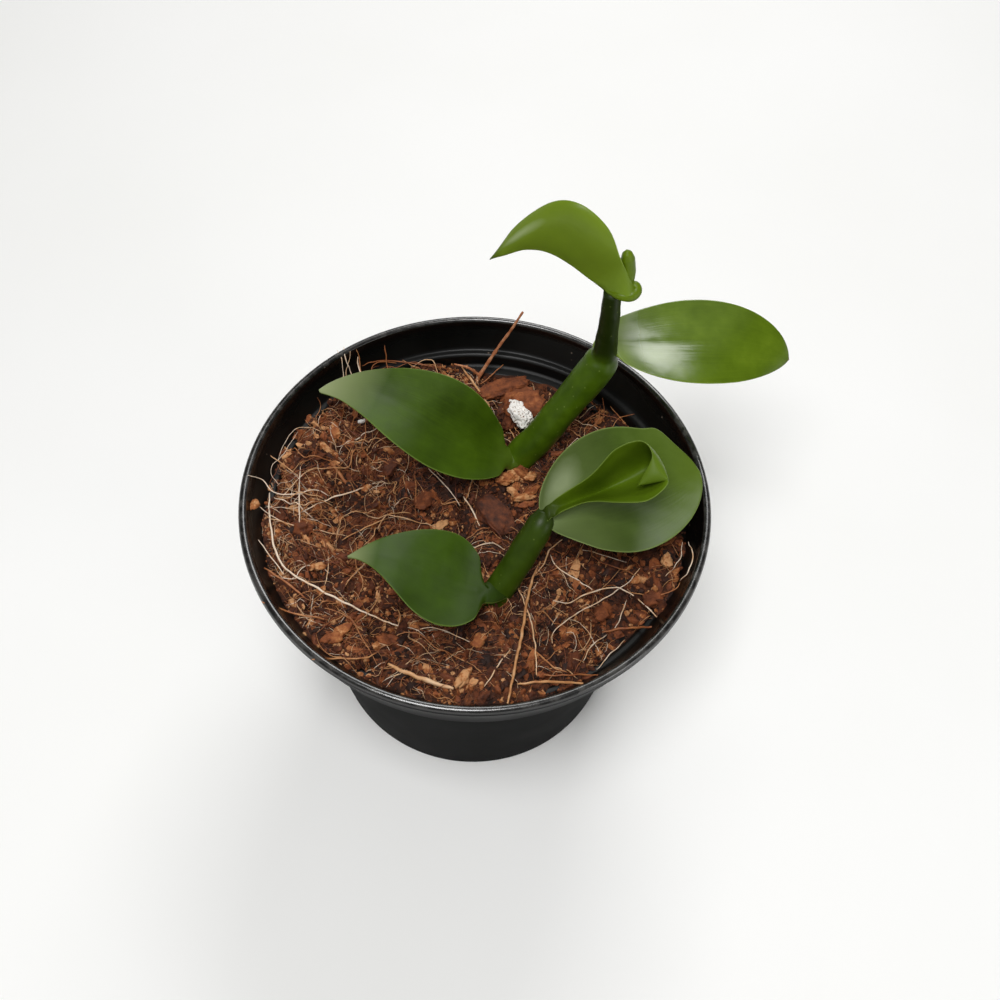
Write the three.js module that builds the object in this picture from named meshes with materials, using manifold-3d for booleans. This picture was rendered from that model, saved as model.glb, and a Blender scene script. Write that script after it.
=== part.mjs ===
// A young vanilla orchid: two rooted cuttings in a black nursery pot of coir and bark.
// Millimetres, +Z up. The origin is the middle of the pot's underside.

import * as THREE from "three";
import { mergeVertices } from "three/addons/utils/BufferGeometryUtils.js";
import Module from "manifold-3d";

const wasm = await Module();
wasm.setup();

// Driving dimensions

const POT_RADIUS = 76;
const POT_HEIGHT = 106;
const BASE_RADIUS = 53;
const COLLAR_DEPTH = 19.2;
const WALL = 1.6;
const FLOOR = 2.4;
const POT_SIDES = 48;
const DRAIN_HOLES = 8;
const DRAIN_RADIUS = 4;
const DRAIN_CIRCLE = 41;

const GAP = 0.35;
const SOIL_LEVEL = 89.3;
const SOIL_CLIMB = 8;
const SOIL_RINGS = 9;
const FIBRE_COUNT = 26;
const CRUMB_COUNT = 26;

const LEAF_EDGE = 0.7;
const LEAF_MIDRIB = 1.9;
const LEAF_STEPS = 16;
const LEAF_SLICES = 8;

// A seeded random number from 0 to 1

function makeRandom(seed) {
  let state = seed;
  return () => {
    state = (state * 1664525 + 1013904223) % 4294967296;
    return state / 4294967296;
  };
}

// Materials

function finish(colour, roughness) {
  return new THREE.MeshStandardMaterial({ color: colour, roughness, metalness: 0 });
}

const blackPlastic = finish(0x1e1e1c, 0.42);
const coir = finish(0x5c3a22, 0.95);
const bark = finish(0x6b4028, 0.9);
const darkBark = finish(0x3a2016, 0.9);
const paleStone = finish(0xd6d0c2, 0.95);
const driedRoot = finish(0x9a6440, 0.8);
const stemGreen = finish(0x33520f, 0.45);
const leafGreen = finish(0x3c5a14, 0.35);
const youngGreen = finish(0x56701a, 0.35);

// Closed meshes and solids

function toSolid(geometry) {
  const bare = geometry.index ? geometry.toNonIndexed() : geometry.clone();
  bare.deleteAttribute("normal");
  bare.deleteAttribute("uv");
  const merged = mergeVertices(bare, 1e-4);
  return new wasm.Manifold(
    new wasm.Mesh({
      numProp: 3,
      vertProperties: merged.attributes.position.array,
      triVerts: new Uint32Array(merged.index.array),
    }),
  );
}

function largestBody(solid) {
  const bodies = solid.decompose();
  return bodies.reduce((a, b) => (b.volume() > a.volume() ? b : a));
}

function toGeometry(solid) {
  const mesh = solid.getMesh();
  const geometry = new THREE.BufferGeometry();
  geometry.setAttribute("position", new THREE.BufferAttribute(mesh.vertProperties, 3));
  geometry.setIndex(new THREE.BufferAttribute(mesh.triVerts, 1));
  const flat = geometry.toNonIndexed();
  flat.computeVertexNormals();
  return flat;
}

function piece(name, solid, material) {
  const mesh = new THREE.Mesh(toGeometry(solid), material);
  mesh.name = name;
  return mesh;
}

function vectors(points) {
  return points.map(([x, y, z]) => new THREE.Vector3(x, y, z));
}

// A closed skin over rows of points: each row is a ring, and both ends are capped at their middle.
function skinOverRings(rings) {
  const count = rings[0].length;
  const positions = [];
  const push = (...corners) => corners.forEach((p) => positions.push(p.x, p.y, p.z));
  for (let i = 0; i + 1 < rings.length; i++) {
    for (let j = 0; j < count; j++) {
      const k = (j + 1) % count;
      push(rings[i][j], rings[i][k], rings[i + 1][k]);
      push(rings[i][j], rings[i + 1][k], rings[i + 1][j]);
    }
  }
  const middle = (ring) =>
    ring.reduce((sum, p) => sum.add(p), new THREE.Vector3()).divideScalar(count);
  const first = middle(rings[0]);
  const last = middle(rings[rings.length - 1]);
  for (let j = 0; j < count; j++) {
    const k = (j + 1) % count;
    push(first, rings[0][k], rings[0][j]);
    push(last, rings[rings.length - 1][j], rings[rings.length - 1][k]);
  }
  const geometry = new THREE.BufferGeometry();
  geometry.setAttribute("position", new THREE.Float32BufferAttribute(positions, 3));
  return geometry;
}

// A round limb along a curve, its radius given at each place from 0 to 1 along it
function limb(points, radiusAt, sides, steps) {
  const curve = new THREE.CatmullRomCurve3(vectors(points), false, "centripetal");
  const frames = curve.computeFrenetFrames(steps, false);
  const rings = [];
  for (let i = 0; i <= steps; i++) {
    const along = i / steps;
    const centre = curve.getPointAt(along);
    const radius = radiusAt(along);
    const ring = [];
    for (let j = 0; j < sides; j++) {
      const angle = (2 * Math.PI * j) / sides;
      ring.push(
        centre
          .clone()
          .addScaledVector(frames.normals[i], radius * Math.cos(angle))
          .addScaledVector(frames.binormals[i], radius * Math.sin(angle)),
      );
    }
    rings.push(ring);
  }
  return toSolid(skinOverRings(rings));
}

// Straight lines between [place, value] pairs
function graph(pairs) {
  return (x) => {
    const next = pairs.findIndex(([place]) => place >= x);
    if (next === 0) return pairs[0][1];
    if (next < 0) return pairs[pairs.length - 1][1];
    const [x0, y0] = pairs[next - 1];
    const [x1, y1] = pairs[next];
    return y0 + ((y1 - y0) * (x - x0)) / (x1 - x0);
  };
}

// The pot

const COLLAR_FOOT = POT_HEIGHT - COLLAR_DEPTH;
const UPPER_LEDGE = POT_HEIGHT - 11;
const LOWER_LEDGE = POT_HEIGHT - 16;
const BODY_TOP_RADIUS = 63.5;

const potInside = [
  [0, FLOOR],
  [BASE_RADIUS - 2.4, FLOOR],
  [BASE_RADIUS - 1.4, FLOOR + 1],
  [BODY_TOP_RADIUS - WALL, LOWER_LEDGE - 0.6],
  [BODY_TOP_RADIUS - WALL + 0.5, LOWER_LEDGE],
  [65, LOWER_LEDGE + 0.3],
  [65.9, LOWER_LEDGE + 1],
  [66.4, UPPER_LEDGE - 0.8],
  [67.2, UPPER_LEDGE],
  [68.8, UPPER_LEDGE + 0.2],
  [69.5, UPPER_LEDGE + 1],
  [72.7, POT_HEIGHT - 3.6],
  [73.1, POT_HEIGHT - 2.6],
  [73.3, POT_HEIGHT - 1],
  [74.2, POT_HEIGHT],
];

const potOutside = [
  [75.2, POT_HEIGHT],
  [POT_RADIUS, POT_HEIGHT - 0.9],
  [POT_RADIUS, POT_HEIGHT - 2.8],
  [74.5, POT_HEIGHT - 3.6],
  [71.2, COLLAR_FOOT + 0.3],
  [70.8, COLLAR_FOOT],
  [69.9, COLLAR_FOOT],
  [70.4, UPPER_LEDGE - 1.6],
  [67.6, UPPER_LEDGE - 1.9],
  [67.2, LOWER_LEDGE - 1.2],
  [65, LOWER_LEDGE - 2],
  [BODY_TOP_RADIUS, LOWER_LEDGE - 5],
  [BASE_RADIUS, 1.4],
  [BASE_RADIUS - 1.2, 0],
  [0, 0],
];

function turned(profile) {
  const points = profile.map(([r, z]) => new THREE.Vector2(r, z));
  return toSolid(new THREE.LatheGeometry(points, POT_SIDES).rotateX(Math.PI / 2));
}

function makePot() {
  let pot = turned([...potOutside.slice().reverse(), ...potInside.slice().reverse()]);
  for (let i = 0; i < DRAIN_HOLES; i++) {
    const angle = (2 * Math.PI * (i + 0.5)) / DRAIN_HOLES;
    const drill = new THREE.CylinderGeometry(DRAIN_RADIUS, DRAIN_RADIUS, 3 * FLOOR, 12);
    drill.rotateX(Math.PI / 2);
    drill.translate(DRAIN_CIRCLE * Math.cos(angle), DRAIN_CIRCLE * Math.sin(angle), FLOOR / 2);
    pot = pot.subtract(toSolid(drill));
  }
  return pot;
}

// The stems

const REAR_STEM = [
  [1, 19, 52],
  [6, 22, 70],
  [14, 25.5, 88],
  [21.5, 28.5, 98],
  [28.5, 32, 109],
  [36, 36.5, 119],
  [40.2, 38.8, 127],
  [40.2, 37.3, 142],
  [39.3, 34.4, 162.6],
];
const rearStemRadius = graph([
  [0, 4.6],
  [0.3, 5.6],
  [0.55, 5.5],
  [0.66, 5.9],
  [0.7, 5.7],
  [0.74, 3.9],
  [0.85, 3.3],
  [1, 2.7],
]);

const FRONT_STEM = [
  [0, -35, 52],
  [2, -32, 72],
  [7, -28, 88],
  [12.5, -23, 97],
  [17, -18.5, 105],
  [20.8, -14.2, 111.5],
];
const frontStemRadius = graph([
  [0, 4.2],
  [0.4, 4.9],
  [0.85, 4.6],
  [0.93, 4.9],
  [1, 4.1],
]);

const grown = (radiusAt) => (along) => radiusAt(along) + GAP;

function rearStem(radiusAt) {
  return limb(REAR_STEM, radiusAt, 16, 30);
}

function frontStem(radiusAt) {
  return limb(FRONT_STEM, radiusAt, 16, 18);
}

// The growing medium

function hump(x, y, atX, atY, reach) {
  return Math.exp(-((x - atX) ** 2 + (y - atY) ** 2) / (2 * reach * reach));
}

// The height of the medium's surface: it climbs to the wall at the left, right and front, stays
// low at the back and the right front, and has a few hollows and lumps
function soilHeight(x, y) {
  const radius = Math.hypot(x, y);
  const climb = THREE.MathUtils.smoothstep(radius, 38, 68);
  const side = THREE.MathUtils.clamp(0.8 - (0.9 * y) / Math.max(radius, 1), 0, 1);
  const hollows = 2.2 * hump(x, y, -31, 16, 5) + 1.2 * hump(x, y, 2, 0, 7);
  const gap = 5 * hump(x, y, 46, -48, 9);
  const lumps =
    0.8 * Math.sin(0.31 * x + 0.17 * y) * Math.cos(0.23 * y - 0.11 * x) +
    0.6 * Math.sin(0.71 * x - 0.43 * y + 1.3) * Math.cos(0.59 * y + 0.37 * x);
  return SOIL_LEVEL + SOIL_CLIMB * climb * side - hollows - gap + lumps;
}

function soilBody() {
  const rings = [];
  const outerRadius = POT_RADIUS - 3;
  const ringAt = (radius, height) => {
    const ring = [];
    for (let j = 0; j < POT_SIDES; j++) {
      const angle = (2 * Math.PI * j) / POT_SIDES;
      const x = radius * Math.cos(angle);
      const y = radius * Math.sin(angle);
      ring.push(new THREE.Vector3(x, y, height === undefined ? soilHeight(x, y) : height));
    }
    return ring;
  };
  rings.push(ringAt(outerRadius, 0));
  for (let i = SOIL_RINGS; i >= 1; i--) rings.push(ringAt((outerRadius * i) / SOIL_RINGS));
  return toSolid(skinOverRings(rings));
}

// The room in the pot: its inside less a small gap, and open above the rim
function potRoom() {
  const shrunk = potInside.map(([r, z], i) => [Math.max(0, r - GAP), i < 2 ? z + GAP : z]);
  const top = POT_HEIGHT + 20;
  return turned([...shrunk.slice(0, -1), [72.4, POT_HEIGHT], [72.4, top], [0, top]]);
}

function crumb(random, x, y, size) {
  const geometry = new THREE.IcosahedronGeometry(size, 0);
  geometry.scale(0.8 + 0.7 * random(), 0.7 + 0.5 * random(), 0.5 + 0.3 * random());
  geometry.rotateX(random() - 0.5);
  geometry.rotateZ(2 * Math.PI * random());
  geometry.translate(x, y, soilHeight(x, y) + 0.15 * size);
  return toSolid(geometry);
}

// A fibre that lies in a low arch, with both ends pushed into the medium
function fibre(startX, startY, heading, length, bend, lift, thick) {
  const points = [];
  const parts = 4;
  let x = startX;
  let y = startY;
  for (let i = 0; i <= parts; i++) {
    const along = i / parts;
    const sunk = i === 0 || i === parts ? -2 : 0.1;
    points.push([x, y, soilHeight(x, y) + sunk + lift * Math.sin(Math.PI * along)]);
    const turn = heading + bend * (along - 0.5);
    x += (length / parts) * Math.cos(turn);
    y += (length / parts) * Math.sin(turn);
  }
  return limb(points, () => thick, 3, parts);
}

// Long straws that stand out from the tangle: start, heading, length, bend, lift
const STRAWS = [
  [-66, -14, -0.72, 50, 0.3, 1.4],
  [21, -18, -1.75, 46, 0.25, 1.6],
  [10, -60, 0.05, 22, 0.2, 1.2],
  [-26, -54, -0.4, 22, -0.3, 1.4],
  [-6, 61, -1.1, 20, -0.4, 1.6],
  [-58, 20, -1.5, 30, -0.5, 1.6],
  [-60, 8, -0.2, 26, 0.6, 1.4],
  [30, -34, 0.15, 24, -1.2, 1.8],
  [24, -30, -0.5, 30, 1.4, 1.8],
  [-48, 38, 0.3, 24, -0.8, 1.5],
];

function makeMedium(cutters) {
  const random = makeRandom(7);
  let medium = soilBody();
  const parts = [];
  for (let i = 0; i < CRUMB_COUNT; i++) {
    const radius = 64 * Math.sqrt(random());
    const angle = 2 * Math.PI * random();
    const size = 1.6 + 2 * random();
    parts.push(crumb(random, radius * Math.cos(angle), radius * Math.sin(angle), size));
  }
  for (let i = 0; i < FIBRE_COUNT; i++) {
    const radius = 62 * Math.sqrt(random());
    const angle = 2 * Math.PI * random();
    const [x, y] = [radius * Math.cos(angle), radius * Math.sin(angle)];
    const length = 12 + 16 * random();
    const inward = angle + Math.PI + 2.4 * (random() - 0.5);
    parts.push(fibre(x, y, inward, length, 1.6 * (random() - 0.5), 0.8 + random(), 0.55));
  }
  for (const [x, y, heading, length, bend, lift] of STRAWS) {
    parts.push(fibre(x, y, heading, length, bend, lift, 0.75));
  }
  for (const part of parts) medium = medium.add(part);
  medium = medium.intersect(potRoom());
  for (const cutter of cutters) medium = medium.subtract(cutter);
  return largestBody(medium);
}

// The loose pieces that lie in the medium's surface

// A rough lump with three half-axes, turned and set down; room makes it that much larger all round
function lump(seed, [x, y, z], [a, b, c], turn, tilt, room) {
  const random = makeRandom(seed);
  const geometry = mergeVertices(bareSphere(), 1e-4);
  const position = geometry.attributes.position;
  for (let i = 0; i < position.count; i++) {
    const rough = 0.86 + 0.24 * random();
    position.setXYZ(
      i,
      position.getX(i) * (a * rough + room),
      position.getY(i) * (b * rough + room),
      position.getZ(i) * (c * rough + room),
    );
  }
  geometry.rotateY(tilt);
  geometry.rotateZ(turn);
  geometry.translate(x, y, z);
  return toSolid(geometry);
}

function bareSphere() {
  const sphere = new THREE.IcosahedronGeometry(1, 1);
  sphere.deleteAttribute("normal");
  sphere.deleteAttribute("uv");
  return sphere;
}

const NUGGET = [11, [17, 46, 91.5], [8, 7, 5], 0.5, 0.1];
const PERLITE = [12, [13.2, 39, 94.3], [3.2, 5.4, 2.6], 0.35, 0.4];
const BARK_STRIP = [13, [9, 55, 90.8], [10, 3.4, 2], 0.42, 0.05];
const BARK_CHIP = [14, [8.5, 3.5, 89.2], [8, 3.2, 1.8], 0.75, 0.2];

// A reddish twig that leans over the back of the rim, and its side shoot
const TWIG = [
  [-3, 55.5, 83],
  [-0.5, 59.4, 89.5],
  [3, 61.8, 96],
  [7.3, 64.6, 103],
  [11, 66, 109.5],
  [14.9, 68.7, 116],
];
const TWIG_SHOOT = [
  [0.5, 60, 91],
  [-4, 60.5, 95],
  [-9, 62, 95],
];
const twigRadius = graph([
  [0, 1],
  [0.35, 1.1],
  [1, 0.6],
]);

function makeTwig(radiusAt) {
  const shoot = limb(TWIG_SHOOT, (along) => 0.7 * radiusAt(along), 5, 4);
  return limb(TWIG, radiusAt, 6, 9).add(shoot);
}

// The leaves

function bezier(values, u) {
  if (values.length === 1) return values[0];
  const shorter = [];
  for (let i = 0; i + 1 < values.length; i++) {
    shorter.push(values[i] * (1 - u) + values[i + 1] * u);
  }
  return bezier(shorter, u);
}

const radians = (degrees) => (degrees * Math.PI) / 180;
const NO_BRUISE = { side: 0, place: 0, reach: 1, depth: 0 };

// A blade that follows its midrib. Heading, pitch and roll are the midrib's angles in degrees, from
// its base to its tip; cup is how far each half bends up by its margin; fold is its slope at the rib.
function bladeAlongMidrib(leaf) {
  const { base, length, width, heading, pitch, roll, cup, fold, shape, foot, bruise } = leaf;
  const fine = 200;
  const midrib = [new THREE.Vector3(...base)];
  const direction = (u) => {
    const [turn, rise] = [radians(bezier(heading, u)), radians(bezier(pitch, u))];
    return new THREE.Vector3(
      Math.cos(rise) * Math.cos(turn),
      Math.cos(rise) * Math.sin(turn),
      Math.sin(rise),
    );
  };
  for (let i = 1; i <= fine; i++) {
    const step = direction((i - 0.5) / fine).multiplyScalar(length / fine);
    midrib.push(midrib[i - 1].clone().add(step));
  }
  const [rise, fall] = shape;
  const widest = rise / (rise + fall);
  const most = widest ** rise * (1 - widest) ** fall;
  return (u, s) => {
    const forward = direction(u);
    const turn = radians(bezier(heading, u));
    const level = new THREE.Vector3(-Math.sin(turn), Math.cos(turn), 0);
    const above = forward.clone().cross(level);
    const angle = radians(bezier(roll, u));
    const side = level.clone().multiplyScalar(Math.cos(angle));
    side.addScaledVector(above, Math.sin(angle));
    const up = forward.clone().cross(side);
    const dent = bruise && Math.sign(s) === bruise.side ? bruise : NO_BRUISE;
    const bite = 1 - dent.depth * Math.exp(-(((u - dent.place) / dent.reach) ** 2));
    const outline = (width / 2) * bite * ((u ** rise * (1 - u) ** fall) / most);
    const half = outline + foot * (1 - u) ** 10 + 0.3;
    const bend = Math.max(1e-3, radians(bezier(cup, u)));
    const slope = radians(bezier(fold, u));
    const reach = Math.abs(s);
    const across = (Math.sin(slope + bend * reach) - Math.sin(slope)) / bend;
    const lift = (Math.cos(slope) - Math.cos(slope + bend * reach)) / bend;
    const whole = Math.min(fine - 1, Math.floor(u * fine));
    const point = midrib[whole].clone().lerp(midrib[whole + 1], u * fine - whole);
    point.addScaledVector(side, Math.sign(s) * across * half);
    return point.addScaledVector(up, lift * half);
  };
}

// A blade stretched over three guide lines: one margin, the midrib and the other margin
function bladeOverGuides({ near, middle, far }) {
  const lines = [near, middle, far].map(
    (points) => new THREE.CatmullRomCurve3(vectors(points), false, "catmullrom", 0.5),
  );
  return (u, s) => {
    const [a, m, b] = lines.map((line) => line.getPoint(u));
    const point = m.clone();
    point.addScaledVector(b.clone().sub(a), s / 2);
    const mean = a.clone().add(b).multiplyScalar(0.5);
    return point.addScaledVector(mean.sub(m), s * s);
  };
}

// Gives a blade its thickness: full at the midrib, thin at the margins, fleshy at the foot.
// Both faces have the same triangles.
function thicken(blade, { foot, extra = 0 }) {
  const over = [];
  const under = [];
  for (let i = 0; i <= LEAF_STEPS; i++) {
    const u = 0.5 - 0.5 * Math.cos((Math.PI * i) / LEAF_STEPS);
    over.push([]);
    under.push([]);
    for (let j = 0; j <= LEAF_SLICES; j++) {
      const s = ((2 * j) / LEAF_SLICES - 1) * (1 + 0.2 * extra);
      const du = 1e-3 * (u > 0.5 ? -1 : 1);
      const ds = 1e-3 * (s > 0 ? -1 : 1);
      const point = blade(u, s);
      const along = blade(u + du, s).sub(point).divideScalar(du);
      const across = blade(u, s + ds).sub(point).divideScalar(ds);
      const normal = along.cross(across).normalize();
      const fleshy = (LEAF_MIDRIB - LEAF_EDGE) * (1 - s * s) * (1 - 0.5 * u);
      const thickness = LEAF_EDGE + fleshy + foot * (1 - u) ** 12 * (1 - s * s) + 2 * extra;
      over[i].push(point.clone().addScaledVector(normal, thickness / 2));
      under[i].push(point.clone().addScaledVector(normal, -thickness / 2));
    }
  }
  const rings = over.map((row, i) => [...row, ...under[i].slice().reverse()]);
  return rings;
}

// The leaf's faces, split the same way above and below, with closed margins and ends
function leafSolid(rings) {
  const positions = [];
  const push = (...corners) => corners.forEach((p) => positions.push(p.x, p.y, p.z));
  const count = rings[0].length;
  const half = count / 2;
  for (let i = 0; i + 1 < rings.length; i++) {
    for (let j = 0; j < count; j++) {
      const k = (j + 1) % count;
      const [a, b, c, d] = [rings[i][j], rings[i][k], rings[i + 1][k], rings[i + 1][j]];
      if (j < half) {
        push(a, b, c);
        push(a, c, d);
      } else {
        push(a, b, d);
        push(b, c, d);
      }
    }
  }
  const capEnd = (ring, turnedRound) => {
    for (let j = 0; j + 1 < half; j++) {
      const corners = [ring[j], ring[j + 1], ring[count - 2 - j], ring[count - 1 - j]];
      const [a, b, c, d] = corners;
      if (turnedRound) {
        push(a, c, b);
        push(a, d, c);
      } else {
        push(a, b, c);
        push(a, c, d);
      }
    }
  };
  capEnd(rings[0], true);
  capEnd(rings[rings.length - 1], false);
  const geometry = new THREE.BufferGeometry();
  geometry.setAttribute("position", new THREE.Float32BufferAttribute(positions, 3));
  const solid = toSolid(geometry);
  if (solid.volume() > 0) return solid;
  for (let i = 0; i < positions.length; i += 9) {
    for (let k = 0; k < 3; k++) {
      [positions[i + 3 + k], positions[i + 6 + k]] = [positions[i + 6 + k], positions[i + 3 + k]];
    }
  }
  geometry.setAttribute("position", new THREE.Float32BufferAttribute(positions, 3));
  return toSolid(geometry);
}

// The stalk runs from inside the stem into the foot of the blade
function makeStalk(leaf, extra = 0) {
  const blade = leaf.near ? bladeOverGuides(leaf) : bladeAlongMidrib(leaf);
  const points = [leaf.stalk, ...[0.01, 0.08].map((u) => blade(u, 0).toArray())];
  const radiusAt = (along) => leaf.stalkRadius * (1 - 0.5 * along ** 3) + extra;
  return limb(points, radiusAt, 10, 5);
}

function makeLeaf(leaf, extra = 0) {
  const blade = leaf.near ? bladeOverGuides(leaf) : bladeAlongMidrib(leaf);
  const solid = leafSolid(thicken(blade, { foot: leaf.fleshyFoot, extra }));
  return leaf.stalk ? solid.add(makeStalk(leaf, extra)) : solid;
}

const REAR_LOW_LEAF = {
  base: [11, 24.5, 93],
  length: 70,
  width: 34,
  heading: [191, 140, 177],
  pitch: [27, 37, -23],
  roll: [-15, 8],
  cup: [17, 7],
  fold: [2, 2],
  shape: [0.57, 1.08],
  foot: 2,
  fleshyFoot: 1.6,
  stalk: [14.5, 25.6, 91.5],
  stalkRadius: 2.2,
};

const REAR_SIDE_LEAF = {
  base: [41.2, 43.2, 129.2],
  length: 64.8,
  width: 31.5,
  heading: [-4, 9, -5],
  pitch: [-5, 18, -39],
  roll: [-5, 30],
  cup: [14, 3],
  fold: [1, 1],
  shape: [0.46, 0.7],
  foot: 2.5,
  fleshyFoot: 1.2,
  stalk: [40.2, 39.6, 128.5],
  stalkRadius: 2.3,
};

const FRONT_LOW_LEAF = {
  base: [4, -31, 94],
  length: 46,
  width: 37,
  heading: [180, 141, 192],
  pitch: [9, 38, -10],
  roll: [13, 12],
  cup: [4, 11],
  fold: [2, 4],
  shape: [0.65, 1.4],
  foot: 2.5,
  fleshyFoot: 1.6,
  stalk: [8, -27.8, 91.5],
  stalkRadius: 2.2,
};

const FRONT_BROAD_LEAF = {
  base: [19.5, -14, 112.5],
  length: 58.5,
  width: 45.5,
  heading: [25, 13, 32],
  pitch: [-6, 5, -10],
  roll: [18, 24],
  cup: [55, 22],
  fold: [11, 5],
  shape: [0.52, 0.68],
  foot: 2.5,
  fleshyFoot: 1,
  stalk: [19, -15.6, 109],
  stalkRadius: 2.6,
  bruise: { side: 1, place: 0.83, reach: 0.05, depth: 0.16 },
};

const FRONT_YOUNG_LEAF = {
  near: [
    [23, -16, 116],
    [28, -14.5, 119],
    [34.5, -14, 122.5],
    [43, -17, 127],
    [51, -18, 130],
    [57.5, -11, 130],
    [48.5, -11, 127],
  ],
  middle: [
    [22.5, -13.5, 115.5],
    [29.5, -10.5, 117],
    [38.5, -6.5, 118],
    [47.5, -3.5, 120.5],
    [55, -1.5, 124],
    [55.5, -7.5, 131],
    [48.5, -11, 127],
  ],
  far: [
    [21.5, -12, 117],
    [28, -9.5, 121.5],
    [35, -7.5, 128],
    [41.5, -2.5, 134],
    [49, -0.5, 136],
    [52.5, -4.5, 134],
    [48.5, -11, 127],
  ],
  fleshyFoot: 0.6,
  stalk: [20.6, -14.4, 110.5],
  stalkRadius: 2,
};

const REAR_TOP_LEAF = {
  near: [
    [37.5, 36.5, 160],
    [32.5, 38, 164],
    [26, 40, 168],
    [19.5, 42, 170.5],
    [13, 43.5, 170],
    [7, 45, 166],
    [3, 46.5, 163],
  ],
  middle: [
    [42, 33.5, 161],
    [38, 35.5, 170],
    [32, 36, 180],
    [24.5, 39, 184.5],
    [17, 41.5, 182.5],
    [9, 44.5, 173],
    [3, 46.5, 163],
  ],
  far: [
    [45, 35, 164],
    [41, 33.5, 176],
    [35.5, 36, 186],
    [27.5, 40, 191],
    [19.5, 44, 188],
    [10, 46, 177],
    [3, 46.5, 163],
  ],
  fleshyFoot: 0.5,
};

// The top leaf's foot is a short open sheath round the shoot bud
const SHEATH = [
  [39.3, 34.6, 160.4],
  [40.8, 34.4, 162.6],
  [44.2, 34.2, 166.4],
];
const SHEATH_BORE = [
  [42.7, 34.3, 164.6],
  [43.6, 34.3, 165.8],
  [45.4, 34, 168.8],
];
const sheathRadius = graph([
  [0, 3.4],
  [0.3, 3.6],
  [0.6, 3.2],
  [1, 3.4],
]);
const boreRadius = graph([
  [0, 2.1],
  [1, 2.8],
]);
const SHOOT_BUD = [
  [43.3, 34.8, 165.2],
  [43.3, 35.6, 170],
  [42, 36, 177.5],
];
const budRadius = graph([
  [0, 1.3],
  [0.45, 1.8],
  [0.8, 1.3],
  [1, 0.4],
]);

function makeTopLeaf(extra = 0) {
  const sheath = limb(SHEATH, (along) => sheathRadius(along) + extra, 14, 6);
  const bore = limb(SHEATH_BORE, (along) => boreRadius(along) - extra, 14, 4);
  return makeLeaf(REAR_TOP_LEAF, extra).add(sheath).subtract(bore);
}

// The object

const orchid = new THREE.Group();
const rear = rearStem(rearStemRadius);
const rearGrown = rearStem(grown(rearStemRadius));
const front = frontStem(frontStemRadius);
const frontGrown = frontStem(grown(frontStemRadius));
const nugget = lump(...NUGGET, 0);
const nuggetGrown = lump(...NUGGET, GAP);
const strip = lump(...BARK_STRIP, 0).subtract(nuggetGrown);
const chip = lump(...BARK_CHIP, 0);
const perlite = largestBody(lump(...PERLITE, 0).subtract(nuggetGrown));
const cutters = [rearGrown, frontGrown, nuggetGrown];
for (const shape of [BARK_STRIP, BARK_CHIP, PERLITE]) cutters.push(lump(...shape, GAP));

const lowLeaves = [REAR_LOW_LEAF, FRONT_LOW_LEAF];
for (const leaf of lowLeaves) cutters.push(makeLeaf(leaf, GAP));
cutters.push(makeTwig((along) => twigRadius(along) + GAP));

const rearLow = makeLeaf(REAR_LOW_LEAF).subtract(rearGrown);
const rearSide = makeLeaf(REAR_SIDE_LEAF).subtract(rearGrown);
const rearTop = makeTopLeaf().subtract(rearGrown);
const bud = limb(SHOOT_BUD, budRadius, 10, 8).subtract(makeTopLeaf(GAP));
const frontLow = makeLeaf(FRONT_LOW_LEAF).subtract(frontGrown);
const youngStalk = makeStalk(FRONT_YOUNG_LEAF, GAP);
const broadLeaf = makeLeaf(FRONT_BROAD_LEAF).subtract(frontGrown).subtract(youngStalk);
const youngBlade = makeLeaf({ ...FRONT_YOUNG_LEAF, stalk: null });
const youngLeaf = youngBlade
  .subtract(makeLeaf(FRONT_BROAD_LEAF, GAP))
  .add(makeStalk(FRONT_YOUNG_LEAF))
  .subtract(frontGrown);

orchid.add(
  piece("pot", makePot(), blackPlastic),
  piece("growing_medium", makeMedium(cutters), coir),
  piece("bark_nugget", nugget, bark),
  piece("bark_strip", largestBody(strip), bark),
  piece("bark_chip", chip, darkBark),
  piece("perlite_lump", perlite, paleStone),
  piece("twig", makeTwig(twigRadius), driedRoot),
  piece("rear_stem", rear, stemGreen),
  piece("rear_leaf_low", largestBody(rearLow), leafGreen),
  piece("rear_leaf_side", largestBody(rearSide), leafGreen),
  piece("rear_leaf_top", largestBody(rearTop), youngGreen),
  piece("rear_shoot_bud", largestBody(bud), youngGreen),
  piece("front_stem", front, stemGreen),
  piece("front_leaf_low", largestBody(frontLow), leafGreen),
  piece("front_leaf_broad", largestBody(broadLeaf), leafGreen),
  piece("front_leaf_young", largestBody(youngLeaf), youngGreen),
);

export default orchid;
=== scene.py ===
import math

import bpy
import numpy as np
from mathutils import Euler, Matrix, Vector, noise


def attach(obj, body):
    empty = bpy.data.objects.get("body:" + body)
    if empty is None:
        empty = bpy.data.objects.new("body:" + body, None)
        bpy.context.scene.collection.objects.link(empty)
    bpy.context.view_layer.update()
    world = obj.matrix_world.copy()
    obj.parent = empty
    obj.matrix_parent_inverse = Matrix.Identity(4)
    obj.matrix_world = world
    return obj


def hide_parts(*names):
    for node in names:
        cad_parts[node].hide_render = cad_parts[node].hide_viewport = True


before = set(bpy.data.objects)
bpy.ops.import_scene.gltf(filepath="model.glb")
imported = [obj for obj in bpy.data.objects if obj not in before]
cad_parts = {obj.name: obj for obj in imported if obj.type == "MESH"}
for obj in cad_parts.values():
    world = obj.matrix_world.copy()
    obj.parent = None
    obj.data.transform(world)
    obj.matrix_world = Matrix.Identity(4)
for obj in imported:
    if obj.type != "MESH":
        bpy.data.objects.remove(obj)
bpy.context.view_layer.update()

MM = 0.001

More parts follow.
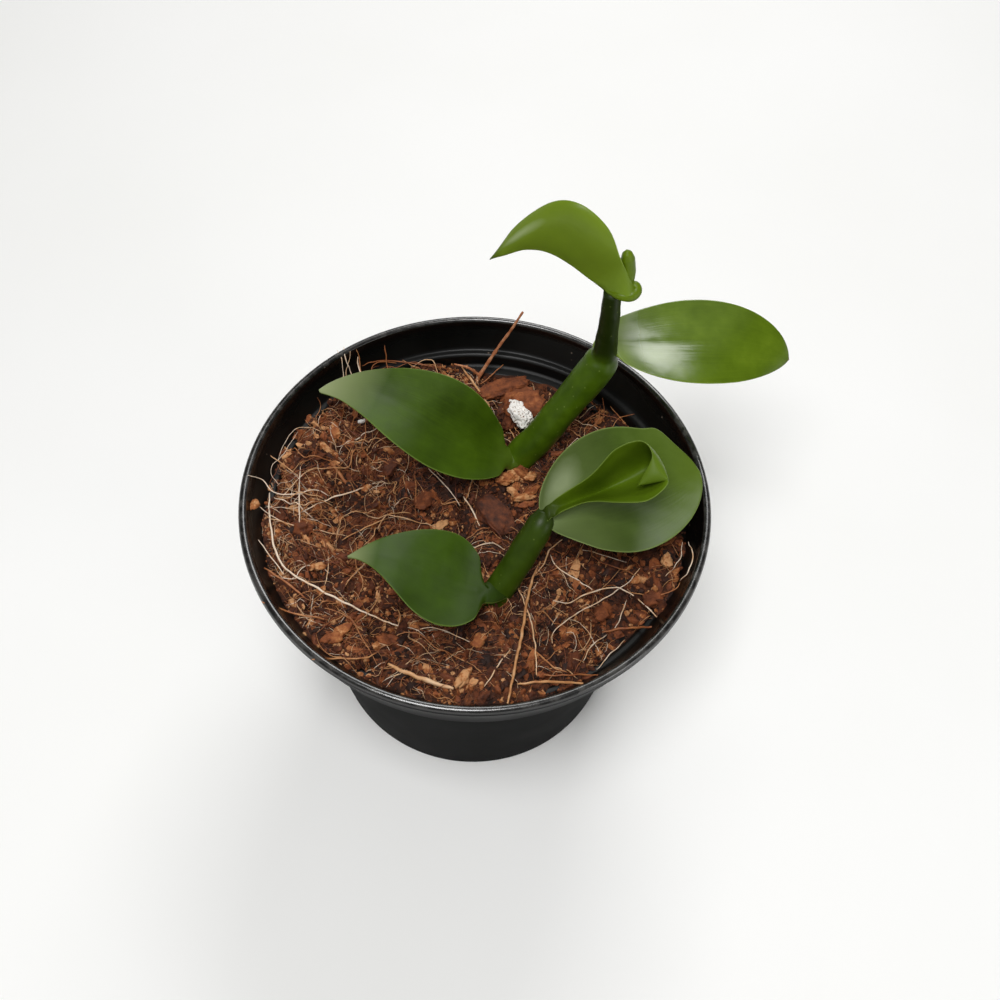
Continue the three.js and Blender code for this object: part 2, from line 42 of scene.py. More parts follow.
# The camera. It looks down into the pot from the front, close enough that the rim's far side is
# clearly smaller than its near side. Shapes are in millimetres, in the pot's own frame, with the
# base on z = 0 and the front towards -y. Lights, the floor and what a node takes are in metres.

CAMERA_PLACE = np.array([0.0, -195.888, 401.875])
CAMERA_TILT = 33.0377  # degrees up from straight down
CAMERA_LEAN = -1.7096
CAMERA_SWING = 0.3518
CAMERA_LENS = 39.6
SENSOR = 36.0
PICTURE_SIDE = 1000

camera_turn = Euler([math.radians(turn) for turn in (CAMERA_TILT, CAMERA_LEAN, CAMERA_SWING)]).to_matrix()
camera = bpy.data.objects.new("camera", bpy.data.cameras.new("camera"))
camera.data.lens = CAMERA_LENS
camera.data.sensor_width = SENSOR
camera.data.clip_start = 0.01
camera.data.clip_end = 20
camera.matrix_world = Matrix.Translation(CAMERA_PLACE * MM) @ camera_turn.to_4x4()
bpy.context.scene.collection.objects.link(camera)
bpy.context.scene.camera = camera

# The stage: a pale matt floor. A softbox behind the pot is what the waxy leaves mirror, another
# overhead at the front lights the medium, and the dome is dim but for a pale band low down.


def linear(hex_colour):
    """An sRGB hex colour as linear red, green, blue and alpha."""
    channels = [int(hex_colour[i : i + 2], 16) / 255 for i in (0, 2, 4)]
    straight = [c / 12.92 if c <= 0.04045 else ((c + 0.055) / 1.055) ** 2.4 for c in channels]
    return (*straight, 1.0)


def feed(tree, node, inputs):
    """Gives inputs, by name or place, a value, a hex colour, a socket or another node's result."""
    usable = [socket for socket in node.inputs if socket.enabled]
    for name, value in inputs.items():
        socket = usable[name] if isinstance(name, int) else next(s for s in usable if s.name == name)
        if isinstance(value, bpy.types.Node):
            value = next(s for s in value.outputs if s.enabled)
        if isinstance(value, bpy.types.NodeSocket):
            tree.links.new(value, socket)
        elif isinstance(value, str) and socket.type == "RGBA":
            socket.default_value = linear(value)
        else:
            socket.default_value = value


def add(tree, kind, inputs=None, stops=(), **settings):
    """A new node with its settings and links, and the (place, colour) stops of its ramp."""
    made = tree.nodes.new(kind)
    for name, value in settings.items():
        setattr(made, name, value)
    for place, colour in stops:
        used = 0 if place == stops[0][0] else 1 if place == stops[-1][0] else None
        ramp = made.color_ramp.elements
        point = ramp.new(place) if used is None else ramp[-used]
        point.position = place
        point.color = linear(colour)
    feed(tree, made, inputs or {})
    return made


def new_material(name, **shader_values):
    """A material, its node tree, its shader, and the place on the object in metres."""
    material = bpy.data.materials.new(name)
    material.use_nodes = True
    tree = material.node_tree
    shader = tree.nodes["Principled BSDF"]
    feed(tree, shader, {key.replace("_", " "): value for key, value in shader_values.items()})
    return material, tree, shader, add(tree, "ShaderNodeTexCoord").outputs["Object"]


FLOOR_REACH = 3.0
bpy.context.scene.view_settings.view_transform = "Standard"
world = bpy.data.worlds.new("studio")
world.use_nodes = True
tree = world.node_tree
compass = add(tree, "ShaderNodeSeparateXYZ", {0: add(tree, "ShaderNodeTexCoord").outputs["Generated"]})
SKY = [(0.15, "C4C3BF"), (0.35, "484847"), (0.8, "4C4C4B"), (0.95, "8E8D8A")]
dome = add(tree, "ShaderNodeValToRGB", {0: compass.outputs["Z"]}, stops=SKY)
feed(tree, tree.nodes["Background"], {"Color": dome, "Strength": 1.0})
bpy.context.scene.world = world

# Pale paper: matt, with a faint uneven tone.
paper, tree, shader, place = new_material("pale_paper", Roughness=0.92)
fibres = add(tree, "ShaderNodeTexNoise", {"Vector": place, "Scale": 6.0, "Detail": 4.0})
colour = add(tree, "ShaderNodeValToRGB", {0: fibres}, stops=[(0.3, "FAFAF8"), (0.7, "FDFDFC")])
feed(tree, shader, {"Base Color": colour})
floor_mesh = bpy.data.meshes.new("studio_floor")
corners = [(x * FLOOR_REACH, y * FLOOR_REACH, 0) for x, y in ((-1, -1), (1, -1), (1, 1), (-1, 1))]
floor_mesh.from_pydata(corners, [], [(0, 1, 2, 3)])
floor_mesh.materials.append(paper)
floor = bpy.data.objects.new("studio_floor", floor_mesh)
bpy.context.scene.collection.objects.link(floor)

LIGHTS_AIM = Vector((0, 0, 0.1))
SOFTBOXES = {
    "back_window_softbox": ((0.2, 0.82, 0.88), 0.55, 5.6),
    "front_overhead_softbox": ((-0.15, -0.42, 1.23), 0.5, 11.0),
    "low_front_fill": ((0.85, -0.66, 0.36), 0.4, 1.6),
}
for name, (spot, size, watts) in SOFTBOXES.items():
    light = bpy.data.lights.new(name, "AREA")
    light.size = size
    light.energy = watts
    lamp = bpy.data.objects.new(name, light)
    lamp.location = spot
    lamp.rotation_euler = (LIGHTS_AIM - Vector(spot)).to_track_quat("-Z", "Y").to_euler()
    bpy.context.scene.collection.objects.link(lamp)

# The pot: a thin nursery pot, injection moulded in black polypropylene. Its wall steps out twice
# below the rim, a skirt-like collar hangs from the rolled lip, and the base has drain holes.

POT_INSIDE = [
    (0, 2.4), (50.6, 2.4), (51.6, 3.4), (61.9, 89.4), (62.4, 90), (65, 90.3), (65.9, 91), (66.4, 94.2),
    (67.2, 95), (68.8, 95.2), (69.5, 96), (72.7, 102.4), (73.1, 103.4), (73.3, 104.6), (73.5, 105.35),
    (74, 105.85), (74.65, 106),
]
POT_OUTSIDE = [
    (75.3, 105.83), (75.8, 105.35), (76, 104.6), (76, 103.2), (74.5, 102.4), (71.2, 87.1), (70.8, 86.8),
    (69.9, 86.8), (70.4, 93.4), (67.6, 93.1), (67.2, 88.8), (65, 88), (63.5, 85), (53, 1.4), (51.8, 0),
    (0, 0),
]
POT_SIDES = 192
POT_FILLET = 0.4
DRAIN_HOLES = 8
DRAIN_RADIUS = 4
DRAIN_CIRCLE = 41
DRAIN_SIDES = 32
DRILL_ENDS = (-3, 6)
SHARP_EDGE = math.radians(50)


def make_piece(name, points, faces, material, smooth=True, attributes=None):
    """A mesh object from points in millimetres, with named values for each point."""
    mesh = bpy.data.meshes.new(name)
    mesh.from_pydata((np.asarray(points, float) * MM).tolist(), [], faces)
    for attribute_name, values in (attributes or {}).items():
        attribute = mesh.attributes.new(attribute_name, "FLOAT", "POINT")
        attribute.data.foreach_set("value", np.asarray(values, np.float32).ravel())
    mesh.polygons.foreach_set("use_smooth", [smooth] * len(mesh.polygons))
    mesh.materials.append(material)
    piece = bpy.data.objects.new(name, mesh)
    bpy.context.scene.collection.objects.link(piece)
    return piece


def settle(piece):
    """Turns what a piece's modifiers make into its own plain mesh."""
    graph = bpy.context.evaluated_depsgraph_get()
    evaluated = piece.evaluated_get(graph)
    mesh = bpy.data.meshes.new_from_object(evaluated, preserve_all_data_layers=True, depsgraph=graph)
    piece.modifiers.clear()
    piece.data = mesh


def hand_over(piece, slot_name, *node_names):
    """Fixes a finished piece to the pot's body, in place of its solids. The slot name is not used."""
    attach(piece, "root")
    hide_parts(*node_names)


def ring_faces(rows, sides, first=0):
    """Quads between rows of points that go round, each row after the one before."""
    faces = []
    for a in range(first, first + (rows - 1) * sides, sides):
        b = a + sides
        faces += [(a + j, a + (j + 1) % sides, b + (j + 1) % sides, b + j) for j in range(sides)]
    return faces


def skin(rings, first=0):
    """Points and faces of a closed skin over rings, with a point in the middle of each end."""
    rows, sides = rings.shape[:2]
    points = np.vstack([rings.reshape(-1, 3), rings[0].mean(0), rings[-1].mean(0)])
    start, end = first + rows * sides, first + rows * sides + 1
    last = start - sides
    faces = ring_faces(rows, sides, first)
    faces += [(start, first + (j + 1) % sides, first + j) for j in range(sides)]
    faces += [(end, last + j, last + (j + 1) % sides) for j in range(sides)]
    return points, faces


def joined(ring_sets):
    """Points and faces of several skins as one mesh, and how many points each skin has."""
    points, faces, counts = [], [], []
    for rings in ring_sets:
        more_points, more_faces = skin(rings, len(points))
        points += more_points.tolist()
        faces += more_faces
        counts.append(len(more_points))
    return points, faces, counts


def even_turns(count):
    """Angles spaced evenly over a full turn."""
    return np.linspace(0, 2 * math.pi, count, endpoint=False)


def level_circle(sides):
    """Points round a level circle of radius 1."""
    turns = even_turns(sides)
    return np.stack([np.cos(turns), np.sin(turns), 0 * turns], axis=1)


def rounded(profile, radius):
    """A profile with each corner replaced by a short arc of about that radius."""
    line = [np.array(p, float) for p in profile]
    made = [line[0]]
    for before, corner, after in zip(line, line[1:], line[2:]):
        back, ahead = before - corner, after - corner
        cut = min(radius, 0.4 * np.linalg.norm(back), 0.4 * np.linalg.norm(ahead))
        start = corner + back * cut / np.linalg.norm(back)
        end = corner + ahead * cut / np.linalg.norm(ahead)
        for t in np.linspace(0, 1, 5):
            made.append(start * (1 - t) ** 2 + corner * 2 * t * (1 - t) + end * t**2)
    return made + [line[-1]]


def scattered_specks(tree, place, per_metre, edge, core, most, drawn_over):
    """How strongly round specks show. They fade from core to edge, in the cells drawn for one."""
    cells = add(tree, "ShaderNodeTexVoronoi", {"Vector": place, "Scale": per_metre})
    near = add(
        tree, "ShaderNodeMapRange", {"Value": cells, "From Min": edge, "From Max": core, "To Max": most}
    )
    draw = add(tree, "ShaderNodeSeparateColor", {0: cells.outputs["Color"]})
    drawn = add(tree, "ShaderNodeMath", {0: draw, 1: drawn_over}, operation="GREATER_THAN")
    return add(tree, "ShaderNodeMath", {0: near, 1: drawn}, operation="MULTIPLY")


# Moulded polypropylene: satin black, cloudy where it was handled. The upper inner wall mirrors
# the sky and has dry dust specks, and the lip is painted a patchy pale grey: partly rubbed wear
# from stacking, partly a painted highlight along the lip.
plastic, tree, shader, place = new_material("moulded_polypropylene", IOR=1.49)
cloud = add(tree, "ShaderNodeTexNoise", {"Vector": place, "Scale": 45.0, "Detail": 4.0})
black = add(tree, "ShaderNodeValToRGB", {0: cloud}, stops=[(0.3, "040404"), (0.75, "0A0A09")])
height = add(tree, "ShaderNodeSeparateXYZ", {0: place}).outputs["Z"]
flat_place = add(tree, "ShaderNodeVectorMath", {0: place, 1: (1.0, 1.0, 0.0)}, operation="MULTIPLY")
radius = add(tree, "ShaderNodeVectorMath", {0: flat_place}, operation="LENGTH")
collar = add(
    tree, "ShaderNodeMapRange",
    {"Value": height, "From Min": 0.0885, "From Max": 0.104, "To Min": 0.0705, "To Max": 0.0738},
)
inward = add(tree, "ShaderNodeMath", {0: collar, 1: radius}, operation="SUBTRACT")
inside = add(
    tree, "ShaderNodeMapRange", {"Value": inward, "From Min": 0.0, "From Max": 0.0003, "To Max": 0.28}
)
above = add(tree, "ShaderNodeMath", {0: height, 1: 0.0884}, operation="GREATER_THAN")
upper = add(tree, "ShaderNodeMath", {0: inside, 1: above}, operation="MULTIPLY")
speck = scattered_specks(tree, place, 300.0, 0.12, 0.06, 3.0, 0.9)
speck = add(tree, "ShaderNodeMath", {0: speck, 1: upper}, operation="MULTIPLY", use_clamp=True)
dusty = add(tree, "ShaderNodeMix", {"Factor": speck, "A": black.outputs[0], "B": "6E6258"}, data_type="RGBA")
# The lip's pale grey: partly rubbed wear, partly a painted highlight along the lip.
lip = add(
    tree, "ShaderNodeMapRange", {"Value": height, "From Min": 0.1049, "From Max": 0.1058, "To Max": 0.45}
)
rubbed = add(tree, "ShaderNodeTexNoise", {"Vector": place, "Scale": 300.0, "Detail": 5.0})
patchy = add(
    tree, "ShaderNodeMapRange", {"Value": rubbed, "From Min": 0.42, "From Max": 0.62, "To Min": 0.08}
)
lip_wear_and_highlight = add(tree, "ShaderNodeMath", {0: lip, 1: patchy}, operation="MULTIPLY")
colour = add(tree, "ShaderNodeMix", {"Factor": lip_wear_and_highlight, "A": dusty, "B": "5C5A57"}, data_type="RGBA")
matt = add(
    tree, "ShaderNodeMapRange",
    {"Value": height, "From Min": 0.085, "From Max": 0.104, "To Min": 0.5, "To Max": 0.16},
)
lip_shine = add(
    tree, "ShaderNodeMapRange",
    {"Value": height, "From Min": 0.1044, "From Max": 0.1054, "To Min": 0.02, "To Max": 1.0},
)
shine = add(tree, "ShaderNodeMath", {0: upper, 1: lip_shine}, operation="ADD")
satin = add(tree, "ShaderNodeMath", {0: cloud, 1: 0.15, 2: matt}, operation="MULTIPLY_ADD")
texture = add(tree, "ShaderNodeTexNoise", {"Vector": place, "Scale": 900.0, "Detail": 2.0})
bump = add(tree, "ShaderNodeBump", {"Height": texture, "Strength": 0.08, "Distance": 0.0002})
feed(tree, shader, {"Base Color": colour, "Roughness": satin, "Normal": bump, "Specular IOR Level": shine})

pot_profile = rounded(POT_OUTSIDE[::-1], POT_FILLET)[1:] + rounded(POT_INSIDE[::-1], POT_FILLET)[:-1]
pot_rings = np.array([level_circle(POT_SIDES) * radius + (0, 0, height) for radius, height in pot_profile])
pot = make_piece("nursery_pot", *skin(pot_rings), plastic)
drills = []
for i in range(DRAIN_HOLES):
    turn = 2 * math.pi * (i + 0.5) / DRAIN_HOLES
    centre = np.array([math.cos(turn), math.sin(turn), 0]) * DRAIN_CIRCLE
    wall = level_circle(DRAIN_SIDES) * DRAIN_RADIUS + centre
    drills.append(np.array([wall + (0, 0, z) for z in DRILL_ENDS]))
drill = make_piece("drain_drill", *joined(drills)[:2], plastic)
cut = pot.modifiers.new("drain_holes", "BOOLEAN")
cut.operation = "DIFFERENCE"
cut.solver = "EXACT"
cut.object = drill
settle(pot)
bpy.data.objects.remove(drill)
pot.data.set_sharp_from_angle(angle=SHARP_EDGE)
hand_over(pot, "black_plastic", "pot")

# The growing medium: damp coconut coir with bark fines, pressed in by hand. Its crust climbs to
# the wall at the left, right and front, and sinks at the back, where the pot's ledges show.

SOIL_LEVEL = 89.3
SOIL_CLIMB = 8
# Hollows, the gap at the wall and heaps: each one's height, middle and reach.
SOIL_HUMPS = [
    (-2.2, -31, 16, 5), (-1.2, 2, 0, 7), (-5, 46, -48, 9),
    (7, -38, 56, 13), (3.5, -60, 30, 14), (3, -14, 64, 7),
]
BED_TURNS = 360
BED_RINGS = 84
BED_SINK = 1.0
WALL_SEARCH = (60, 72.5, 0.1)
BED_FOOT = [(65.2, 90.6), (61.4, 88.2), (51.1, 3.3), (49.8, 2.75)]
CLOD_SIZE, CLOD_HEIGHT = 7, 1.5
GRAIN_SIZE, GRAIN_HEIGHT = 1.6, 0.5
PIT_DEPTH = 3.2


def smoothstep(value, low, high):
    """Rises smoothly from 0 at low to 1 at high."""
    t = np.clip((value - low) / (high - low), 0, 1)
    return t * t * (3 - 2 * t)


def soil_height(x, y):
    """The height of the crust: as in the solid model, with the three heaps at the back and left."""
    radius = np.hypot(x, y)
    climb = smoothstep(radius, 38, 68)
    side = np.clip(0.8 - 0.9 * y / np.maximum(radius, 1), 0, 1)
    lumps = 0.8 * np.sin(0.31 * x + 0.17 * y) * np.cos(0.23 * y - 0.11 * x)
    lumps = lumps + 0.6 * np.sin(0.71 * x - 0.43 * y + 1.3) * np.cos(0.59 * y + 0.37 * x)
    for high, at_x, at_y, reach in SOIL_HUMPS:
        lumps = lumps + high * np.exp(-((x - at_x) ** 2 + (y - at_y) ** 2) / (2 * reach * reach))
    return SOIL_LEVEL + SOIL_CLIMB * climb * side + lumps


def wall_height(radius):
    """How high the pot's inside wall stands at a distance from the middle."""
    return np.interp(radius, *zip(*POT_INSIDE[2:]))


def crust_noise(reach, layer, rough, octaves):
    """Fractal noise over the crust, with features of that reach."""
    places = zip(crust_x.flat, crust_y.flat)
    drawn = [noise.fractal(Vector((x / reach, y / reach, layer)), rough, 2.0, octaves) for x, y in places]
    return np.reshape(drawn, crust_x.shape)


heading = level_circle(BED_TURNS).T[:2]
tries = np.arange(*WALL_SEARCH)[:, None]
blocked = wall_height(tries + 0.3) > soil_height(tries * heading[0], tries * heading[1])
meeting = tries[np.where(blocked.any(0), blocked.argmax(0), -1), 0]
meeting = np.convolve(np.r_[meeting[-2:], meeting, meeting[:2]], np.ones(5) / 5, "valid")
shares = np.linspace(0.01, 1, BED_RINGS)[:, None]
crust_x, crust_y = shares * meeting * heading[0], shares * meeting * heading[1]
crust_z = soil_height(crust_x, crust_y) - BED_SINK
calm = 1 - smoothstep(shares, 0.97, 1.0)
clods = crust_noise(CLOD_SIZE, 3, 0.9, 3)
grains = crust_noise(GRAIN_SIZE, 9, 0.8, 2)
crust_z += calm * (CLOD_HEIGHT * clods + GRAIN_HEIGHT * grains - PIT_DEPTH * smoothstep(-clods, 0.25, 0.6))
crust_rings = np.stack([crust_x, crust_y, crust_z], axis=2)
foot_rings = []
for radius, height in BED_FOOT:
    reach = np.minimum(radius, meeting - 0.2)
    foot_rings.append(np.stack([reach * heading[0], reach * heading[1], 0 * reach + height], axis=1))
bed_points, bed_faces = skin(np.vstack([crust_rings, foot_rings]))
bed_faces = [face[::-1] for face in bed_faces]

# Damp coir dust: dark brown between the crumbs, matt. Real dust is finer than the picture can
# show, so its grit is drawn at half a millimetre.
coir_dust, tree, shader, place = new_material("damp_coir_dust", Roughness=0.9, IOR=1.45)
patches = add(
    tree, "ShaderNodeTexNoise", {"Vector": place, "Scale": 140.0, "Detail": 6.0, "Roughness": 0.65}
)
brown = [(0.3, "1A0C06"), (0.5, "40200F"), (0.62, "6A3A1E"), (0.8, "8C5530")]
colour = add(tree, "ShaderNodeValToRGB", {0: patches}, stops=brown)
grit = add(tree, "ShaderNodeTexNoise", {"Vector": place, "Scale": 900.0, "Detail": 3.0})
bump = add(tree, "ShaderNodeBump", {"Height": grit, "Strength": 0.6, "Distance": 0.0006})
feed(tree, shader, {"Base Color": colour, "Normal": bump})

bed = make_piece("coir_bed", bed_points, bed_faces, coir_dust)
hand_over(bed, "coir", "growing_medium")
crust = bpy.data.meshes.new("crust")
crust_faces = [face[::-1] for face in ring_faces(BED_RINGS, BED_TURNS)]
crust.from_pydata((crust_rings.reshape(-1, 3) * MM).tolist(), [], crust_faces)

# Crumbs of bark and coir pith: torn, corky grains that lie loose over the whole crust. Each is
# a small ball pushed out of shape, with its own tone, and the chips among them are long flakes.

CRUMB_INPUTS = {
    "Ground": "Geometry", "Spacing": "Float", "Small": "Float", "Large": "Float", "Least shape": "Vector",
    "Most shape": "Vector", "Tilt": "Float", "Rough size": "Float", "Rough depth": "Float",
    "Segments": "Int", "Rings": "Int", "Seed": "Int", "Finish": "Material",
}
CRUMB_CROWD = 3.0e6


def begin_tree(name, inputs):
    """A tree that makes geometry, its input sockets, and seeds that follow on from its own."""
    t = bpy.data.node_groups.new(name, "GeometryNodeTree")
    for socket_name, kind in inputs.items():
        t.interface.new_socket(socket_name, in_out="INPUT", socket_type="NodeSocket" + kind)
    t.interface.new_socket("Geometry", in_out="OUTPUT", socket_type="NodeSocketGeometry")
    given = add(t, "NodeGroupInput").outputs
    seeds = [add(t, "ShaderNodeMath", {0: given["Seed"], 1: float(k)}, operation="ADD") for k in range(5)]
    return t, given, seeds


def end_tree(t, given, made):
    """Makes real geometry of what a tree has made and gives it its finish."""
    real = add(t, "GeometryNodeRealizeInstances", {"Geometry": made})
    finished = add(t, "GeometryNodeSetMaterial", {"Geometry": real, "Material": given["Finish"]})
    add(t, "NodeGroupOutput", {0: finished})


def draw_values(t, laid, seeds, names):
    """Draws a value from 0 to 1 under each name for every piece laid down, and keeps it there."""
    for name, seed in zip(names, seeds):
        value = add(t, "FunctionNodeRandomValue", {"Min": 0.0, "Max": 1.0, "Seed": seed})
        laid = add(
            t, "GeometryNodeStoreNamedAttribute", {"Geometry": laid, "Name": name, "Value": value},
            data_type="FLOAT", domain="INSTANCE",
        )
    return laid


crumb_tree, given, seeds = begin_tree("scatter_crumbs", CRUMB_INPUTS)
t = crumb_tree
spots = add(
    t, "GeometryNodeDistributePointsOnFaces",
    {
        "Mesh": given["Ground"], "Distance Min": given["Spacing"], "Density Max": CRUMB_CROWD,
        "Seed": given["Seed"],
    },
    distribute_method="POISSON",
)
ball = add(
    t, "GeometryNodeMeshUVSphere", {"Segments": given["Segments"], "Rings": given["Rings"], "Radius": 1.0}
)
spread = add(
    t, "FunctionNodeRandomValue",
    {"Min": given["Least shape"], "Max": given["Most shape"], "Seed": seeds[2]},
    data_type="FLOAT_VECTOR",
)
size = add(t, "FunctionNodeRandomValue", {"Min": given["Small"], "Max": given["Large"], "Seed": seeds[1]})
sized = add(t, "ShaderNodeVectorMath", {0: spread, "Scale": size}, operation="SCALE")
back_tilt = add(t, "ShaderNodeMath", {0: given["Tilt"], 1: -1.0}, operation="MULTIPLY")
lowest = add(t, "ShaderNodeCombineXYZ", {"X": back_tilt, "Y": back_tilt})
highest = add(t, "ShaderNodeCombineXYZ", {"X": given["Tilt"], "Y": given["Tilt"], "Z": 6.28})
turned = add(
    t, "FunctionNodeRandomValue", {"Min": lowest, "Max": highest, "Seed": seeds[3]}, data_type="FLOAT_VECTOR"
)
turn = add(t, "FunctionNodeEulerToRotation", {0: turned})
placed = add(
    t, "GeometryNodeInstanceOnPoints", {"Points": spots, "Instance": ball, "Rotation": turn, "Scale": sized}
)
toned = draw_values(t, placed, seeds[4:], ["tone"])
loose = add(t, "GeometryNodeRealizeInstances", {"Geometry": toned})
per_size = add(t, "ShaderNodeMath", {0: 1.0, 1: given["Rough size"]}, operation="DIVIDE")
torn = add(
    t, "ShaderNodeTexNoise",
    {"Vector": add(t, "GeometryNodeInputPosition"), "Scale": per_size, "Detail": 1.0},
)
middle = add(t, "ShaderNodeVectorMath", {0: torn.outputs["Color"], 1: (0.5, 0.5, 0.5)}, operation="SUBTRACT")
pushed = add(t, "ShaderNodeVectorMath", {0: middle, "Scale": given["Rough depth"]}, operation="SCALE")
shaped = add(t, "GeometryNodeSetPosition", {"Geometry": loose, "Offset": pushed})
end_tree(t, given, add(t, "GeometryNodeSetShadeSmooth", {"Geometry": shaped, "Shade Smooth": False}))


def grow(name, tree, values, material):
    """Runs a tree on the crust and keeps what it makes as a plain mesh of the medium."""
    piece = bpy.data.objects.new(name, crust.copy())
    bpy.context.scene.collection.objects.link(piece)
    modifier = piece.modifiers.new("growth", "NODES")
    modifier.node_group = tree
    sockets = {s.name: s.identifier for s in tree.interface.items_tree if s.in_out == "INPUT"}
    for socket, value in {**values, "Finish": material}.items():
        modifier[sockets[socket]] = value
    settle(piece)
    piece.data.materials.clear()
    piece.data.materials.append(material)
    hand_over(piece, "coir", "growing_medium")
    return piece


def mixed_tone(tree, place, grain, depth, darker=1.0, dry_gain=0.0):
    """Each piece's drawn tone, varied by its grain, and paler where the pot's left side dries."""
    drawn = add(tree, "ShaderNodeAttribute", attribute_name="tone").outputs["Fac"]
    own_tone = add(tree, "ShaderNodeMath", {0: drawn, 1: darker}, operation="POWER")
    centred = add(tree, "ShaderNodeMath", {0: grain, 1: 0.5}, operation="SUBTRACT")
    mixed = add(tree, "ShaderNodeMath", {0: centred, 1: depth, 2: own_tone}, operation="MULTIPLY_ADD")
    leftness = add(tree, "ShaderNodeSeparateXYZ", {0: place}).outputs["X"]
    dry_side = add(
        tree, "ShaderNodeMapRange",
        {"Value": leftness, "From Min": -0.02, "From Max": -0.06, "To Max": dry_gain},
    )
    return add(tree, "ShaderNodeMath", {0: mixed, 1: dry_side}, operation="ADD")


# Torn bark and pith: reddish brown, each piece with its own tone and corky pits, damp enough
# for a faint shine.
torn_bark, tree, shader, place = new_material("torn_bark_and_pith", Roughness=0.74, IOR=1.45)
veil = add(tree, "ShaderNodeTexNoise", {"Vector": place, "Scale": 700.0, "Detail": 4.0, "Roughness": 0.7})
mixed = mixed_tone(tree, place, veil, 0.8, 1.3, 0.2)
patch = add(tree, "ShaderNodeTexNoise", {"Vector": place, "Scale": 85.0, "Detail": 2.0})
uneven = add(
    tree, "ShaderNodeMapRange",
    {"Value": patch, "From Min": 0.35, "From Max": 0.65, "To Min": -0.32, "To Max": 0.2},
)
mixed = add(tree, "ShaderNodeMath", {0: mixed, 1: uneven}, operation="ADD")
BARK_TONES = [
    (0.0, "240E05"), (0.25, "45200E"), (0.5, "6A361A"), (0.72, "8A4B25"), (0.9, "A96A3A"), (1.0, "C99464"),
]
colour = add(tree, "ShaderNodeValToRGB", {0: mixed}, stops=BARK_TONES)
bump = add(tree, "ShaderNodeBump", {"Height": veil, "Strength": 0.8, "Distance": 0.0005})
feed(tree, shader, {"Base Color": colour, "Normal": bump})

CRUMBS = {
    "coir_pith_grains": {
        "Spacing": 0.00115, "Small": 0.0003, "Large": 0.0008, "Least shape": (0.8, 0.5, 0.4),
        "Most shape": (1.5, 0.9, 0.8), "Tilt": 3.0, "Rough size": 0.0009, "Rough depth": 0.0011,
        "Segments": 5, "Rings": 3, "Seed": 3,
    },
    "bark_crumbs": {
        "Spacing": 0.0024, "Small": 0.0006, "Large": 0.0016, "Least shape": (0.7, 0.5, 0.4),
        "Most shape": (1.5, 0.9, 0.8), "Tilt": 1.6, "Rough size": 0.0016, "Rough depth": 0.0022,
        "Segments": 7, "Rings": 5, "Seed": 21,
    },
    "bark_flakes": {
        "Spacing": 0.0062, "Small": 0.0016, "Large": 0.0034, "Least shape": (0.9, 0.35, 0.2),
        "Most shape": (1.8, 0.65, 0.4), "Tilt": 0.8, "Rough size": 0.0022, "Rough depth": 0.003,
        "Segments": 8, "Rings": 6, "Seed": 33,
    },
}
for name, sizes in CRUMBS.items():
    grow(name, crumb_tree, sizes, torn_bark)

# Coir fibres: springy, dry threads from coconut husk that lie in loose arches over the crust,
# with both ends pushed in. They are pale tan to rust, thinner towards their ends, and gather
# in tangles, most of all at the left.

FIBRE_INPUTS = {
    "Ground": "Geometry", "Density": "Float", "Tangle size": "Float", "Short": "Float", "Long": "Float",
    "Curl": "Float", "Curl size": "Float", "Arch": "Float", "Thick": "Float", "Steps": "Int",
    "Sides": "Int", "Seed": "Int", "Finish": "Material",
}
fibre_tree, given, seeds = begin_tree("lay_fibres", FIBRE_INPUTS)
t = fibre_tree
here = add(t, "GeometryNodeInputPosition")
per_tangle = add(t, "ShaderNodeMath", {0: 1.0, 1: given["Tangle size"]}, operation="DIVIDE")
tangles = add(t, "ShaderNodeTexNoise", {"Vector": here, "Scale": per_tangle, "Detail": 1.0})
leftness = add(t, "ShaderNodeSeparateXYZ", {0: here}).outputs["X"]
left_more = add(
    t, "ShaderNodeMapRange", {"Value": leftness, "From Min": 0.0, "From Max": -0.05, "To Max": 0.16}
)
uneven = add(t, "ShaderNodeMath", {0: tangles, 1: left_more}, operation="ADD")
crowd = add(t, "ShaderNodeMapRange", {"Value": uneven, "From Min": 0.38, "From Max": 0.72})
density = add(t, "ShaderNodeMath", {0: crowd, 1: given["Density"]}, operation="MULTIPLY")
spots = add(
    t, "GeometryNodeDistributePointsOnFaces",
    {"Mesh": given["Ground"], "Density": density, "Seed": given["Seed"]},
)
heading = add(t, "FunctionNodeRandomValue", {"Min": 0.0, "Max": 6.283, "Seed": seeds[1]})
turn = add(t, "FunctionNodeEulerToRotation", {0: add(t, "ShaderNodeCombineXYZ", {"Z": heading})})
thread = add(t, "GeometryNodeCurvePrimitiveLine", {"Start": (-0.5, 0, 0), "End": (0.5, 0, 0)})
length = add(t, "FunctionNodeRandomValue", {"Min": given["Short"], "Max": given["Long"], "Seed": seeds[2]})
laid = add(
    t, "GeometryNodeInstanceOnPoints",
    {"Points": spots, "Instance": thread, "Rotation": turn, "Scale": length},
)
laid = draw_values(t, laid, seeds[3:], ["tone", "own_lift"])
own_tone, own_lift = (
    add(t, "GeometryNodeInputNamedAttribute", {"Name": name}, data_type="FLOAT").outputs["Attribute"]
    for name in ("tone", "own_lift")
)
loose = add(t, "GeometryNodeRealizeInstances", {"Geometry": laid})
threads = add(t, "GeometryNodeResampleCurve", {"Curve": loose, "Count": given["Steps"]})
along = add(t, "GeometryNodeSplineParameter").outputs["Factor"]
half_turn = add(t, "ShaderNodeMath", {0: along, 1: math.pi}, operation="MULTIPLY")
arch = add(t, "ShaderNodeMath", {0: half_turn}, operation="SINE")
per_curl = add(t, "ShaderNodeMath", {0: 1.0, 1: given["Curl size"]}, operation="DIVIDE")
own_phase = add(t, "ShaderNodeMath", {0: own_tone, 1: 60.0}, operation="MULTIPLY")
